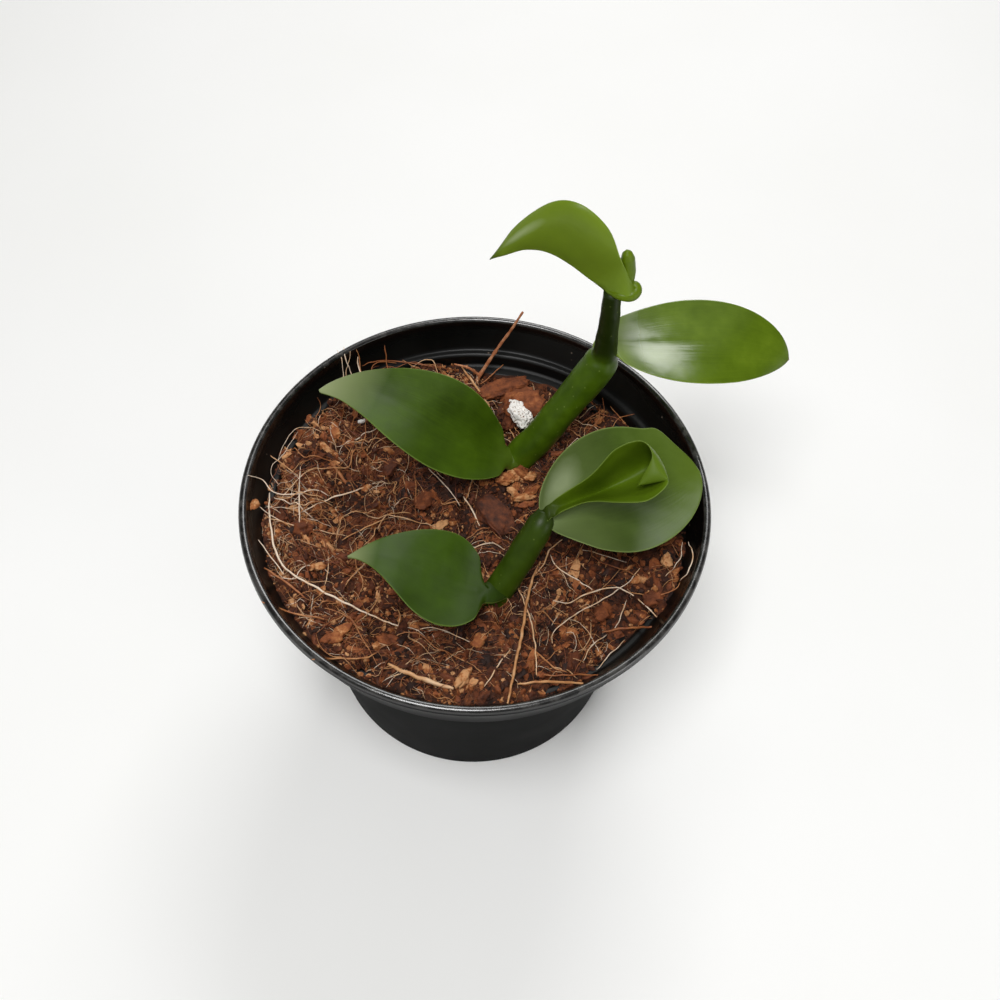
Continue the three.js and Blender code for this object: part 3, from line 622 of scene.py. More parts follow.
wave = add(
    t, "ShaderNodeTexNoise", {"Vector": here, "W": own_phase, "Scale": per_curl, "Detail": 1.0},
    noise_dimensions="4D",
)
swing = add(t, "ShaderNodeVectorMath", {0: wave.outputs["Color"], 1: (0.5, 0.5, 0.5)}, operation="SUBTRACT")
level = add(t, "ShaderNodeVectorMath", {0: swing, 1: (1.0, 1.0, 0.0)}, operation="MULTIPLY")
sway = add(t, "ShaderNodeVectorMath", {0: level, "Scale": given["Curl"]}, operation="SCALE")
swayed = add(t, "GeometryNodeSetPosition", {"Geometry": threads, "Offset": sway})
above = add(t, "ShaderNodeVectorMath", {0: here, 1: (0.0, 0.0, 0.05)}, operation="ADD")
ray = add(
    t, "GeometryNodeRaycast",
    {
        "Target Geometry": given["Ground"], "Source Position": above, "Ray Direction": (0, 0, -1),
        "Ray Length": 0.2,
    },
)
ground = add(t, "ShaderNodeSeparateXYZ", {0: ray.outputs["Hit Position"]}).outputs["Z"]
most_lift = add(t, "ShaderNodeMath", {0: given["Arch"], 1: own_lift}, operation="MULTIPLY")
raised = add(t, "ShaderNodeMath", {0: arch, 1: most_lift, 2: ground}, operation="MULTIPLY_ADD")
flat_place = add(t, "ShaderNodeSeparateXYZ", {0: here}).outputs
draped = add(t, "ShaderNodeCombineXYZ", {"X": flat_place["X"], "Y": flat_place["Y"], "Z": raised})
lying = add(t, "GeometryNodeSetPosition", {"Geometry": swayed, "Position": draped})
missed = add(t, "FunctionNodeBooleanMath", {0: ray.outputs["Is Hit"]}, operation="NOT")
held = add(t, "GeometryNodeDeleteGeometry", {"Geometry": lying, "Selection": missed}, domain="POINT")
taper = add(t, "ShaderNodeMath", {0: arch, 1: 0.35}, operation="POWER")
thickness = add(t, "ShaderNodeMath", {0: own_lift, 1: 0.35}, operation="ADD")
thickness = add(t, "ShaderNodeMath", {0: thickness, 1: given["Thick"]}, operation="MULTIPLY")
thickness = add(t, "ShaderNodeMath", {0: thickness, 1: taper}, operation="MULTIPLY")
outline = add(t, "GeometryNodeCurvePrimitiveCircle", {"Resolution": given["Sides"], "Radius": 1.0})
tube = add(
    t, "GeometryNodeCurveToMesh",
    {"Curve": held, "Profile Curve": outline, "Scale": thickness, "Fill Caps": True},
)
end_tree(t, given, tube)

# Dry coir fibre: a tan to rust thread, streaked along its length, with a low silky shine.
dry_fibre, tree, shader, place = new_material("dry_coir_fibre", Roughness=0.55, IOR=1.5)
streak = add(tree, "ShaderNodeTexNoise", {"Vector": place, "Scale": 260.0, "Detail": 3.0})
mixed = mixed_tone(tree, place, streak, 0.7, 1.3, 0.14)
FIBRE_TONES = [
    (0.0, "4A1E0B"), (0.25, "7E4120"), (0.5, "A8683A"), (0.72, "C8925F"), (0.9, "E0BA92"), (1.0, "E8D3BC"),
]
colour = add(tree, "ShaderNodeValToRGB", {0: mixed}, stops=FIBRE_TONES)
feed(tree, shader, {"Base Color": colour})

FIBRES = {
    "fine_coir_fibres": {
        "Density": 230000.0, "Tangle size": 0.014, "Short": 0.005, "Long": 0.015, "Curl": 0.011,
        "Curl size": 0.009, "Arch": 0.0026, "Thick": 0.0001, "Steps": 12, "Sides": 3, "Seed": 40,
    },
    "long_coir_fibres": {
        "Density": 24000.0, "Tangle size": 0.02, "Short": 0.014, "Long": 0.034, "Curl": 0.024,
        "Curl size": 0.018, "Arch": 0.004, "Thick": 0.00016, "Steps": 22, "Sides": 4, "Seed": 60,
    },
}
for name, sizes in FIBRES.items():
    piece = grow(name, fibre_tree, sizes, dry_fibre)
    piece.data.polygons.foreach_set("use_smooth", [True] * len(piece.data.polygons))

# Straws: the stouter husk fibres that stand out of the tangle one by one. Each is given by its
# radius, tone, lift and the places where it shows in the picture, and arches over the crust
# there, or over the lip, or stands before the wall. Small kinks are drawn with a fixed seed.

STRAW_SIDES = 6
STRAW_STEPS = 8
STRAW_SUNK = 0.4
STRAW_KINK = 0.35
STRAW_SEED = 1
STRAW_PALER = 0.14
STRAW_PALEST = 0.97
LIP_CLEAR = 106.5
WALL_CLEAR = 0.7


def over_soil(px, py, lift):
    """The point, that high above the crust, which shows at a pixel of the picture."""
    focal = CAMERA_LENS / SENSOR * PICTURE_SIDE
    middle = PICTURE_SIDE / 2
    ray = np.array(camera_turn) @ np.array([(px - middle) / focal, (middle - py) / focal, -1.0])
    height = SOIL_LEVEL
    for _ in range(8):
        point = CAMERA_PLACE + ray * (height - CAMERA_PLACE[2]) / ray[2]
        height = float(soil_height(point[0], point[1])) + lift
    while height < LIP_CLEAR and wall_height(np.hypot(point[0], point[1]) + WALL_CLEAR) > height:
        height += 0.3
        point = CAMERA_PLACE + ray * (height - CAMERA_PLACE[2]) / ray[2]
    return point


def smooth_line(points, steps):
    """Points at even steps along a centripetal curve through the given ones."""
    line = np.array(points, float)
    line = np.vstack([2 * line[0] - line[1], line, 2 * line[-1] - line[-2]])
    knots = np.r_[0, np.cumsum(np.linalg.norm(np.diff(line, axis=0), axis=1) ** 0.5)]
    dense = []
    for i in range(len(line) - 3):
        time = np.linspace(knots[i + 1], knots[i + 2], 40)[:, None]
        level = [line[i + k] for k in range(4)]
        for first, span in ((i, 1), (i, 2), (i + 1, 1)):
            ends = [(knots[first + k], knots[first + k + span]) for k in range(len(level) - 1)]
            level = [
                (a * (end - time) + b * (time - start)) / (end - start)
                for a, b, (start, end) in zip(level, level[1:], ends)
            ]
        dense.append(level[0])
    dense = np.vstack(dense)
    run = np.r_[0, np.cumsum(np.linalg.norm(np.diff(dense, axis=0), axis=1))]
    even = np.linspace(0, run[-1], steps + 1)
    return np.stack([np.interp(even, run, dense[:, k]) for k in range(3)], axis=1)


def rings_along(centres, radii, sides):
    """Rings of points round a line, without twist."""
    tangents = np.gradient(centres, axis=0)
    tangents /= np.linalg.norm(tangents, axis=1)[:, None]
    side = np.cross(tangents[0], (0, 0, 1) if abs(tangents[0][2]) < 0.9 else (0, 1, 0))
    rings = []
    for centre, tangent, radius in zip(centres, tangents, radii):
        side = side - tangent * (side @ tangent)
        side /= np.linalg.norm(side)
        rings.append(centre + radius * level_circle(sides) @ [side, np.cross(tangent, side), tangent])
    return np.array(rings)


STRAWS = [
    (0.34, 0.8, 3.0, [(269, 493), (270, 524), (278, 558), (290, 572), (324, 592), (360, 610), (402, 628)]),
    (0.26, 0.75, 2.6, [(298, 514), (326, 500), (352, 492), (376, 482)]),
    (0.22, 0.9, 3.0, [(300, 467), (299, 500), (300, 528)]),
    (0.2, 0.85, 3.4, [(248, 475), (262, 480), (275, 493), (296, 494), (314, 490), (330, 496)]),
    (0.16, 0.7, 2.0, [(258, 506), (284, 522), (316, 530), (348, 536)]),
    (0.24, 0.6, 1.8, [(342, 540), (364, 528), (388, 518)]),
    (0.18, 0.8, 1.6, [(259, 540), (270, 556), (284, 574)]),
    (0.34, 0.3, 1.5, [(264, 568), (286, 582), (306, 598)]),
    (0.3, 0.35, 4.0, [(262, 602), (288, 612), (312, 617), (328, 620)]),
    (0.26, 0.45, 3.0, [(312, 660), (336, 658), (360, 659), (378, 652)]),
    (0.16, 0.7, 2.2, [(328, 548), (328, 574), (324, 586)]),
    (0.18, 0.85, 1.8, [(364, 566), (346, 582)]),
    (0.16, 0.6, 2.0, [(380, 590), (376, 602), (362, 620)]),
    (0.18, 0.85, 2.4, [(412, 632), (424, 628), (438, 629), (470, 642)]),
    (0.6, 0.35, 1.4, [(330, 460), (344, 480), (360, 496)]),
    (0.16, 0.4, 1.8, [(414, 462), (416, 488), (415, 516)]),
    (0.18, 0.9, 2.4, [(428, 468), (452, 494), (460, 506)]),
    (0.3, 0.85, 2.4, [(462, 494), (472, 510), (480, 526)]),
    (0.1, 0.7, 3.2, [(278, 460), (283, 446), (296, 429), (310, 428), (322, 432)]),
    (0.09, 0.8, 2.8, [(279, 485), (272, 475), (272, 465), (280, 458), (298, 432)]),
    (0.1, 0.35, 3.0, [(317, 397), (321, 405), (317, 415), (310, 425)]),
    (0.1, 0.5, 2.6, [(322, 410), (328, 416), (336, 414)]),
    (0.2, 0.55, 2.2, [(271, 456), (285, 466), (298, 476)]),
    (0.1, 0.6, 4.0, [(352, 443), (348, 456), (347, 463)]),
    (0.12, 0.9, 3.0, [(300, 466), (299, 490), (300, 512)]),
    (0.5, 0.6, 3.0, [(540, 562), (532, 580), (527, 603), (522, 633), (515, 667), (507.5, 703)]),
    (0.26, 0.7, 3.2, [(562, 540), (550, 550), (543, 565), (532, 577)]),
    (0.22, 0.85, 2.6, [(550, 555), (557, 567), (577, 580), (593, 590)]),
    (0.26, 0.75, 3.0, [(518, 588), (525, 603), (532, 625), (535, 647), (537, 675)]),
    (0.24, 1.0, 4.2, [(553, 600), (568, 603), (587, 594), (607, 588), (617, 587.5), (637, 598), (657, 617)]),
    (0.2, 1.0, 3.2, [(552, 643), (553, 633), (567, 620), (583, 610), (602, 600), (627, 583), (640, 567)]),
    (0.16, 0.9, 2.2, [(583, 550), (603, 555), (627, 563)]),
    (0.18, 0.5, 2.4, [(628, 592.5), (660, 595), (677, 588), (680, 582)]),
    (0.4, 0.35, 1.8, [(602, 632), (627, 628), (652, 627)]),
    (0.18, 1.0, 2.2, [(583, 660), (593, 645), (607, 635)]),
    (0.16, 1.0, 2.2, [(597, 670), (610, 655), (625, 640)]),
    (0.42, 0.6, 2.0, [(517, 684), (543, 682), (583, 683)]),
    (0.26, 0.35, 1.8, [(543, 675), (568, 675), (598, 675)]),
    (0.24, 0.5, 2.4, [(523, 643), (540, 655), (553, 667), (567, 672)]),
    (0.22, 0.8, 1.8, [(484, 687), (492, 675), (500, 663), (510, 650)]),
    (0.2, 1.0, 3.4, [(688, 542), (693, 555), (688, 572), (680, 580)]),
    (0.16, 1.0, 2.4, [(682, 542), (680, 558), (665, 578)]),
    (0.18, 0.9, 2.4, [(627, 600), (620, 617), (615, 630)]),
    (0.18, 0.7, 1.8, [(590, 623), (590, 638), (583, 650)]),
    (0.2, 0.3, 2.2, [(362, 365.5), (375, 361), (395, 361), (425, 365.5), (447, 369), (458, 371)]),
    (0.16, 0.4, 2.4, [(371, 375), (372, 366), (379, 362), (396, 363)]),
    (0.15, 0.85, 3.0, [(337.5, 350), (342, 362), (343.5, 377), (347, 396)]),
    (0.18, 0.8, 3.0, [(343.5, 347), (345.5, 358), (352.5, 377), (356, 396)]),
    (0.12, 0.7, 3.0, [(350, 351), (349, 360), (346, 371), (350, 394)]),
    (0.26, 0.95, 3.0, [(357.5, 357), (358.5, 366), (362, 377), (364, 392)]),
    (0.16, 0.5, 3.0, [(356, 350), (359, 358), (361, 372), (366, 390)]),
    (0.22, 0.35, 3.0, [(385, 346), (386, 353), (386.5, 362), (388, 376)]),
    (0.16, 0.5, 1.6, [(402, 360), (412, 366), (428, 370)]),
    (0.14, 0.25, 1.4, [(395, 368), (415, 362), (436, 369)]),
    (0.4, 0.65, 2.4, [(460, 365), (475, 385), (490, 407)]),
    (0.24, 0.4, 3.0, [(480, 384), (492, 375), (503, 364)]),
    (0.2, 0.3, 2.6, [(602.5, 398), (604, 409), (603, 421)]),
    (0.22, 0.35, 2.4, [(580, 425), (592, 416), (604, 409)]),
    (0.18, 0.45, 2.6, [(610, 406), (617, 414), (627, 425)]),
    (0.2, 0.3, 2.0, [(597, 413), (609, 416), (621, 421)]),
    (0.18, 0.4, 2.4, [(588, 431), (597, 422), (600, 405)]),
    (0.16, 0.5, 2.0, [(612, 428), (620, 418), (634, 414)]),
    (0.7, 0.7, 1.6, [(388, 664), (410, 674), (432, 682), (454, 689)]),
]
noise.seed_set(STRAW_SEED)
straw_rings = []
for radius, _, lift, pixels in STRAWS:
    spans = len(pixels) - 1
    rises = [STRAW_SUNK + lift * math.sin(math.pi * i / spans) / 2 for i in range(spans + 1)]
    through = [over_soil(*pixel, rise) for pixel, rise in zip(pixels, rises)]
    centres = smooth_line(through, STRAW_STEPS * spans)
    centres += [STRAW_KINK * np.array(noise.noise_vector(Vector(point / 3.0))) for point in centres]
    thin = np.sin(math.pi * np.linspace(0.04, 0.96, len(centres))) ** 0.5
    thin *= [1 + 0.5 * noise.noise(Vector(point / 2.0)) for point in centres]
    straw_rings.append(rings_along(centres, radius * (0.35 + 0.65 * thin), STRAW_SIDES))
points, faces, counts = joined(straw_rings)
tones = np.repeat([min(row[1] + STRAW_PALER, STRAW_PALEST) for row in STRAWS], counts)
straws = make_piece("husk_straws", points, faces, dry_fibre, attributes={"tone": tones})
hand_over(straws, "coir", "growing_medium")

# The larger pieces: a round nugget and a long strip of bark behind the rear stem, a dark flake
# near the middle and two lumps of perlite. All are torn or crumbled and lie where they fell.


def lump_rings(seed, centre, half_axes, turn, tilt, boxy, rough, grain, rows=40, sides=52):
    """Rings over a torn lump. Its grain runs along its first axis."""
    shift = Vector((seed * 7.3, seed * 3.1, seed * 5.7))
    around = even_turns(sides)
    rings = []
    for polar in np.linspace(0.02, math.pi - 0.02, rows)[::-1]:
        x = 0 * around + math.cos(polar)
        ring = np.stack([x, math.sin(polar) * np.cos(around), math.sin(polar) * np.sin(around)], axis=1)
        ring = np.sign(ring) * np.abs(ring) ** boxy * half_axes
        for point in ring:
            outward = point / (np.linalg.norm(point) + 1e-9)
            coarse = noise.fractal(Vector(point / 4.0) + shift, 0.8, 2.0, 3)
            drawn_out = Vector((point[0] / 7.0, point[1] / 0.9, point[2] / 0.9))
            fibrous = noise.fractal(drawn_out + shift, 0.7, 2.0, 2)
            point += outward * (rough * coarse + grain * fibrous)
        rings.append(ring)
    rings = np.array(rings)
    rings = rings @ np.array(Matrix.Rotation(tilt, 3, "Y")).T @ np.array(Matrix.Rotation(turn, 3, "Z")).T
    return rings + np.array(centre)


# Pine bark: brown plates with darker grain lines along them and corky pits across.
pine_bark, tree, shader, place = new_material("pine_bark", Roughness=0.78, IOR=1.45)
plates = add(tree, "ShaderNodeTexNoise", {"Vector": place, "Scale": 330.0, "Detail": 6.0, "Roughness": 0.68})
mixed = mixed_tone(tree, place, plates, 1.3)
colour = add(tree, "ShaderNodeValToRGB", {0: mixed}, stops=BARK_TONES)
bump = add(tree, "ShaderNodeBump", {"Height": plates, "Strength": 0.9, "Distance": 0.0008})
feed(tree, shader, {"Base Color": colour, "Normal": bump})

# Perlite: crumbly white volcanic foam, stained brown in its pits.
perlite, tree, shader, place = new_material("crumbly_perlite", Roughness=0.9, IOR=1.5)
pits = add(tree, "ShaderNodeTexVoronoi", {"Vector": place, "Scale": 900.0, "Randomness": 1.0})
stain = add(tree, "ShaderNodeTexNoise", {"Vector": place, "Scale": 420.0, "Detail": 3.0})
depth = add(tree, "ShaderNodeMath", {0: stain, 1: 0.55, 2: pits}, operation="MULTIPLY_ADD")
WHITES = [(0.35, "7A5E4E"), (0.5, "C9BCB0"), (0.62, "F2EEE8")]
colour = add(tree, "ShaderNodeValToRGB", {0: depth}, stops=WHITES)
bump = add(tree, "ShaderNodeBump", {"Height": depth, "Strength": 0.9, "Distance": 0.0007})
feed(tree, shader, {"Base Color": colour, "Normal": bump})

# For each: its node, slot, material and tone, and what lump_rings takes for every lump in it.
LUMPS = {
    "round_bark_nugget": (
        "bark_nugget", "bark", pine_bark, 0.62,
        [(11, (16.5, 46, 92.3), (7.6, 6.8, 4.9), 0.5, 0.1, 0.95, 1.5, 0.4)],
    ),
    "long_bark_strip": (
        "bark_strip", "bark", pine_bark, 0.56,
        [(13, (9, 55, 90.8), (9.6, 3.4, 1.8), 0.42, 0.05, 0.72, 0.9, 0.9)],
    ),
    "dark_bark_flake": (
        "bark_chip", "dark_bark", pine_bark, 0.34,
        [(14, (6.2, 1.5, 89.6), (8.2, 4.6, 2.3), -0.85, 0.15, 0.75, 1.1, 0.6)],
    ),
    "white_perlite": (
        "perlite_lump", "pale_stone", perlite, 0.9,
        [(12, (14.8, 40.4, 95.2), (3.1, 5.8, 2.4), 0.35, 0.4, 0.85, 1.6, 0.3),
         (17, over_soil(362, 421, 0.9), (1.5, 0.7, 0.5), 0.5, 0.1, 0.9, 0.4, 0.2)],
    ),
}
for name, (node_name, slot_name, material, tone_value, rows) in LUMPS.items():
    points, faces, _ = joined([lump_rings(*row) for row in rows])
    piece = make_piece(name, points, faces, material, attributes={"tone": [tone_value] * len(points)})
    hand_over(piece, slot_name, node_name)

# The small chips: broken pine bark that lies over the whole crust. Each is given by the place
# where it shows in the picture, its lift, its half sizes, its turn and its tone.

CHIP_SEED = 30
CHIP_TEAR = (0.15, 0.9, 1.5, 0.9, 22, 30)
PICKED_CHIPS = [
    ((505, 480), 0.6, (2.6, 1.6, 1.4), 0.1, 0.85), ((514, 476), 0.8, (2.6, 1.7, 1.4), 0.9, 0.95),
    ((523, 473), 0.6, (2.6, 1.9, 1.5), -0.5, 0.75), ((531, 476), 0.9, (2.4, 1.7, 1.4), 0.3, 0.9),
    ((514, 493), 0.4, (2.6, 1.1, 0.9), -0.6, 0.95), ((524, 498), 0.6, (4.2, 1.2, 0.9), 0.2, 0.9),
    ((527, 505), 0.4, (3.0, 1.0, 0.8), 0.35, 0.75), ((533, 490), 0.4, (2.2, 1.2, 0.9), 0.8, 0.8),
    ((508, 423), 0.4, (3, 2.4, 1.9), 1.2, 0.4), ((391, 467), 0.3, (4, 2, 1.5), 1.3, 0.38),
    ((337, 435), 0.8, (2.2, 1.4, 1), -0.9, 0.75), ((667, 560), 0.8, (2.4, 1.5, 1.3), 1.2, 1.1),
    ((315, 567), 0.5, (2.9, 1.6, 1.1), 0.3, 0.9), ((462, 678), 0.6, (3.6, 1.6, 1.1), 1.1, 0.95),
    ((254, 504), 0.2, (1.9, 1.1, 0.9), 1.4, 0.85), ((441, 523), 0.4, (2.2, 1.5, 1.1), 0.9, 1.05),
    ((423, 500), 0.2, (4.2, 2.8, 1.5), 1.2, 0.5), ((332, 637), 0.5, (3.4, 1.9, 1.4), 0.5, 0.7),
    ((343, 631), 0.7, (3, 1.4, 1.1), 0.9, 0.85),
    ((447, 548), 0.2, (2.6, 1.6, 1.2), -0.4, 0.6), ((604, 612), 0.3, (3.4, 2.2, 1.4), 0.8, 0.6),
    ((390, 640), 0.3, (3.4, 2, 1.4), -0.3, 0.55), ((654, 598), 0.5, (3.2, 2.4, 1.8), 0.2, 0.5),
    ((480, 640), 0.3, (2.4, 1.7, 1.2), 0.7, 0.85), ((301, 527), 0.2, (3.2, 2, 1.3), 0.3, 0.5),
]
points, faces, counts = joined(
    lump_rings(CHIP_SEED + i, over_soil(*pixel, lift), half_axes, turn, *CHIP_TEAR)
    for i, (pixel, lift, half_axes, turn, _) in enumerate(PICKED_CHIPS)
)
tones = np.repeat([row[-1] for row in PICKED_CHIPS], counts)
chips = make_piece("small_bark_chips", points, faces, pine_bark, attributes={"tone": tones})
hand_over(chips, "coir", "growing_medium")

# The twig: a dry, reddish side root that leans over the back of the rim, thin as a match, with
# one short side shoot.

TWIG = [
    (-3, 55.5, 83), (-0.5, 59.4, 89.5), (3, 61.8, 96), (7.3, 64.6, 103), (11, 66, 109.5), (14.9, 68.7, 116),
]
TWIG_SHOOT = [(0.5, 60, 91), (-4, 60.5, 95), (-9, 62, 95)]
TWIG_RADIUS = [(0, 0.9), (0.35, 0.66), (1, 0.42)]
TWIG_STEPS = 60
TWIG_SIDES = 12


def tapered(radius_points, steps):
    """The radius at even steps along a line, from points of a share of its length and a radius."""
    return np.interp(np.linspace(0, 1, steps + 1), *zip(*radius_points))


# Dry root bark: tan to rust, ribbed along its length, matt.
root_bark, tree, shader, place = new_material("dry_root_bark", Roughness=0.7, IOR=1.45)
ribs = add(tree, "ShaderNodeTexNoise", {"Vector": place, "Scale": 380.0, "Detail": 5.0, "Roughness": 0.6})
RUSTS = [(0.3, "8A4C28"), (0.5, "B3714A"), (0.7, "CE9A74")]
colour = add(tree, "ShaderNodeValToRGB", {0: ribs}, stops=RUSTS)
bump = add(tree, "ShaderNodeBump", {"Height": ribs, "Strength": 0.7, "Distance": 0.0004})
feed(tree, shader, {"Base Color": colour, "Normal": bump})

twig_rings = []
for path, share in ((TWIG, 1.0), (TWIG_SHOOT, 0.7)):
    rough = [1 + 0.3 * noise.noise(Vector((i / 3.0, share * 9, 0))) for i in range(TWIG_STEPS + 1)]
    radii = share * tapered(TWIG_RADIUS, TWIG_STEPS) * rough
    twig_rings.append(rings_along(smooth_line(path, TWIG_STEPS), radii, TWIG_SIDES))
twig = make_piece("dry_root_twig", *joined(twig_rings)[:2], root_bark)
hand_over(twig, "dried_root", "twig")

# The stems: fleshy green cuttings, as thick as a finger, with a joint where each leaf sits. They
# stand in the medium with their lower ends buried, and carry pale, wart-like breathing pores.

REAR_STEM = [
    (1, 19, 52), (6, 22, 70), (14, 25.5, 88), (21.5, 28.5, 98), (28.5, 32, 109), (36, 36.5, 119),
    (40.2, 38.8, 127), (40.2, 37.3, 142), (39.3, 34.4, 162.6),
]
REAR_STEM_RADIUS = [
    (0, 4.6), (0.3, 5.6), (0.55, 5.5), (0.66, 5.9), (0.7, 5.7), (0.74, 3.9), (0.85, 3.3), (1, 2.7),
]
FRONT_STEM = [
    (0, -35, 52), (2, -32, 72), (7, -28, 88), (12.5, -23, 97), (17, -18.5, 105), (20.4, -14.8, 111),
    (21.7, -12.2, 113.6),
]
FRONT_STEM_RADIUS = [(0, 4.2), (0.4, 4.9), (0.85, 4.6), (0.92, 4.4), (0.955, 4.2), (0.98, 3.2), (1, 2.2)]
STEM_SIDES = 56
STEM_SWELL = 0.2
# The ridge and the groove at a joint: each one's height, place above the joint, and reach.
JOINT_RINGS = [(0.15, 0, 0.012), (-0.25, 0.022, 0.007)]

# Stem skin: smooth, juicy green with a satin shine, mixed towards near-black as painted shade
# where leaves above shade the stem.
stem_skin, tree, shader, place = new_material("fleshy_green_stem", IOR=1.42)
feed(tree, shader, {"Coat Weight": 0.1, "Coat Roughness": 0.3, "Specular IOR Level": 0.25})
# The stem's painted shade: how far the green is mixed towards near-black.
shade_share = add(tree, "ShaderNodeAttribute", attribute_name="stem_shade").outputs["Fac"]
mottle = add(tree, "ShaderNodeTexNoise", {"Vector": place, "Scale": 120.0, "Detail": 5.0})
green = add(
    tree, "ShaderNodeValToRGB", {0: mottle}, stops=[(0.3, "334A02"), (0.55, "445E04"), (0.75, "55720C")]
)
dark = add(tree, "ShaderNodeMix", {"Factor": shade_share, "A": green.outputs[0], "B": "141F02"}, data_type="RGBA")
pore = scattered_specks(tree, place, 480.0, 0.16, 0.08, 0.28, 0.55)
colour = add(tree, "ShaderNodeMix", {"Factor": pore, "A": dark, "B": "8CA04E"}, data_type="RGBA")
relief = add(tree, "ShaderNodeMath", {0: pore, 1: 0.6, 2: mottle}, operation="MULTIPLY_ADD")
bump = add(tree, "ShaderNodeBump", {"Height": relief, "Strength": 0.3, "Distance": 0.0004})
satin = add(
    tree, "ShaderNodeMapRange",
    {"Value": mottle, "From Min": 0.3, "From Max": 0.7, "To Min": 0.38, "To Max": 0.52},
)
feed(tree, shader, {"Base Color": colour, "Roughness": satin, "Normal": bump})

# For each: its line, radii, node, steps, raised joints, where its painted shade deepens, and how
# deep that painted shade is below and above that. The rear stem is painted dark above its joint,
# under the top leaf; the front stem is painted dark all over under the broad leaf, darkest at its end.
STEMS = {
    "rear_cutting_stem": (REAR_STEM, REAR_STEM_RADIUS, "rear_stem", 180, [0.705], (0.7, 0.78), (0.1, 0.9)),
    "front_cutting_stem": (FRONT_STEM, FRONT_STEM_RADIUS, "front_stem", 100, [], (0.9, 0.97), (0.52, 0.72)),
}
for name, (path, radius_points, node_name, steps, joints, shade_span, (least, most)) in STEMS.items():
    centres = smooth_line(path, steps)
    along = np.linspace(0, 1, steps + 1)
    radii = np.pad(tapered(radius_points, steps), 2, "edge")
    radii = np.convolve(radii, np.ones(5) / 5, "valid")
    for joint in joints:
        for high, above, reach in JOINT_RINGS:
            radii += high * np.exp(-(((along - joint - above) / reach) ** 2))
    rings = rings_along(centres, radii, STEM_SIDES)
    for i, ring in enumerate(rings):
        for point in ring:
            swell = STEM_SWELL * noise.fractal(Vector(point / 7.0), 1.0, 2.0, 2)
            point += (point - centres[i]) / radii[i] * swell
    points, faces = skin(rings)
    # Painted shade along the stem.
    stem_shade = least + (most - least) * smoothstep(along, *shade_span)
    stem_shade = np.r_[np.repeat(stem_shade, STEM_SIDES), stem_shade[0], stem_shade[-1]]
    stem = make_piece(name, points, faces, stem_skin, attributes={"stem_shade": stem_shade})
    hand_over(stem, "stem_green", node_name)

# The leaves: thick, waxy blades on a short clasping foot. Most follow a midrib; the young folded
# leaf and the arching top leaf are stretched over three lines: a margin, the rib and a margin.

LEAF_EDGE = 0.7
LEAF_MIDRIB = 1.9
LEAF_ROWS = 96
LEAF_AROUND = 64
MIDRIB_STEPS = 400
LEAST_HALF = 0.25
FOOT_END = 0.09
STALK_ROWS = 10
STALK_WIDE, STALK_THICK = 1.3, 0.6


def bezier(values, u):
    """The value at u along a curve through the first and last of the given values."""
    while len(values) > 1:
        values = [a * (1 - u) + b * u for a, b in zip(values, values[1:])]
    return values[0] + 0 * u


def midrib_blade(leaf):
    """The blade's surface as a function of the place along, 0 to 1, and across, -1 to 1."""

    def turned(name, u, more=0):
        """An angle of the leaf at u, in radians, with something more near the foot."""
        return np.radians(bezier(leaf[name], u) + more * (1 - u) ** 10)

    def direction(u):
        turn, rise = turned("heading", u), turned("pitch", u, leaf.get("neck", 0))
        return np.stack([np.cos(rise) * np.cos(turn), np.cos(rise) * np.sin(turn), np.sin(rise)], axis=-1)

    steps = direction((np.arange(MIDRIB_STEPS) + 0.5) / MIDRIB_STEPS) * leaf["length"] / MIDRIB_STEPS
    midrib = np.array(leaf["base"]) + np.vstack([np.zeros(3), np.cumsum(steps, axis=0)])
    rise, fall = leaf["shape"]
    widest = rise / (rise + fall)
    fullest = widest**rise * (1 - widest) ** fall
    start = leaf.get("start", 0)
    nick_place, nick_reach, nick_depth = leaf.get("nick", (0.5, 1, 0))

    def surface(u, s):
        forward = direction(u)
        turn, angle = turned("heading", u), turned("roll", u)[..., None]
        level = np.stack([-np.sin(turn), np.cos(turn), 0 * u], axis=-1)
        side = level * np.cos(angle) + np.cross(forward, level) * np.sin(angle)
        up = np.cross(forward, side)
        bite = 1 - nick_depth * np.exp(-(((u - nick_place) / nick_reach) ** 2)) * (s > 0)
        begun = np.clip((u - start) / (1 - start), 0, 1)
        outline = leaf["width"] / 2 * bite * begun**rise * (1 - begun) ** fall / fullest
        blunt = leaf["blunt"] * np.sqrt(1 - u**8)
        half = outline + leaf["foot"] * (1 - u) ** 10 + LEAST_HALF + blunt * u**4
        bend = np.maximum(1e-3, turned("cup", u, leaf.get("clasp", 30)))
        slope = turned("fold", u)
        across = (np.sin(slope + bend * abs(s)) - np.sin(slope)) / bend
        lift = (np.cos(slope) - np.cos(slope + bend * abs(s))) / bend
        reached = u * MIDRIB_STEPS
        centre = np.stack([np.interp(reached, range(MIDRIB_STEPS + 1), axis) for axis in midrib.T], axis=-1)
        return centre + side * (np.sign(s) * across * half)[..., None] + up * (lift * half)[..., None]

    return surface


def guided_blade(leaf):
    """The same for a blade over its near margin, middle and far margin."""
    lines = [np.array(leaf[name], float) for name in ("near", "middle", "far")]
    lines = [np.vstack([2 * line[0] - line[1], line, 2 * line[-1] - line[-2]]) for line in lines]

    def on(line, u):
        place = np.clip(u, 0, 0.999999) * (len(line) - 3)
        i = place.astype(int)
        w = (place - i)[..., None]
        a, b, c, d = (line[i + k] for k in range(4))
        return b + 0.5 * w * (c - a + w * (2 * a - 5 * b + 4 * c - d + w * (3 * (b - c) + d - a)))

    def surface(u, s):
        near, middle, far = (on(line, u) for line in lines)
        s = s[..., None]
        return middle + (far - near) * s / 2 + ((near + far) / 2 - middle) * s * s

    return surface


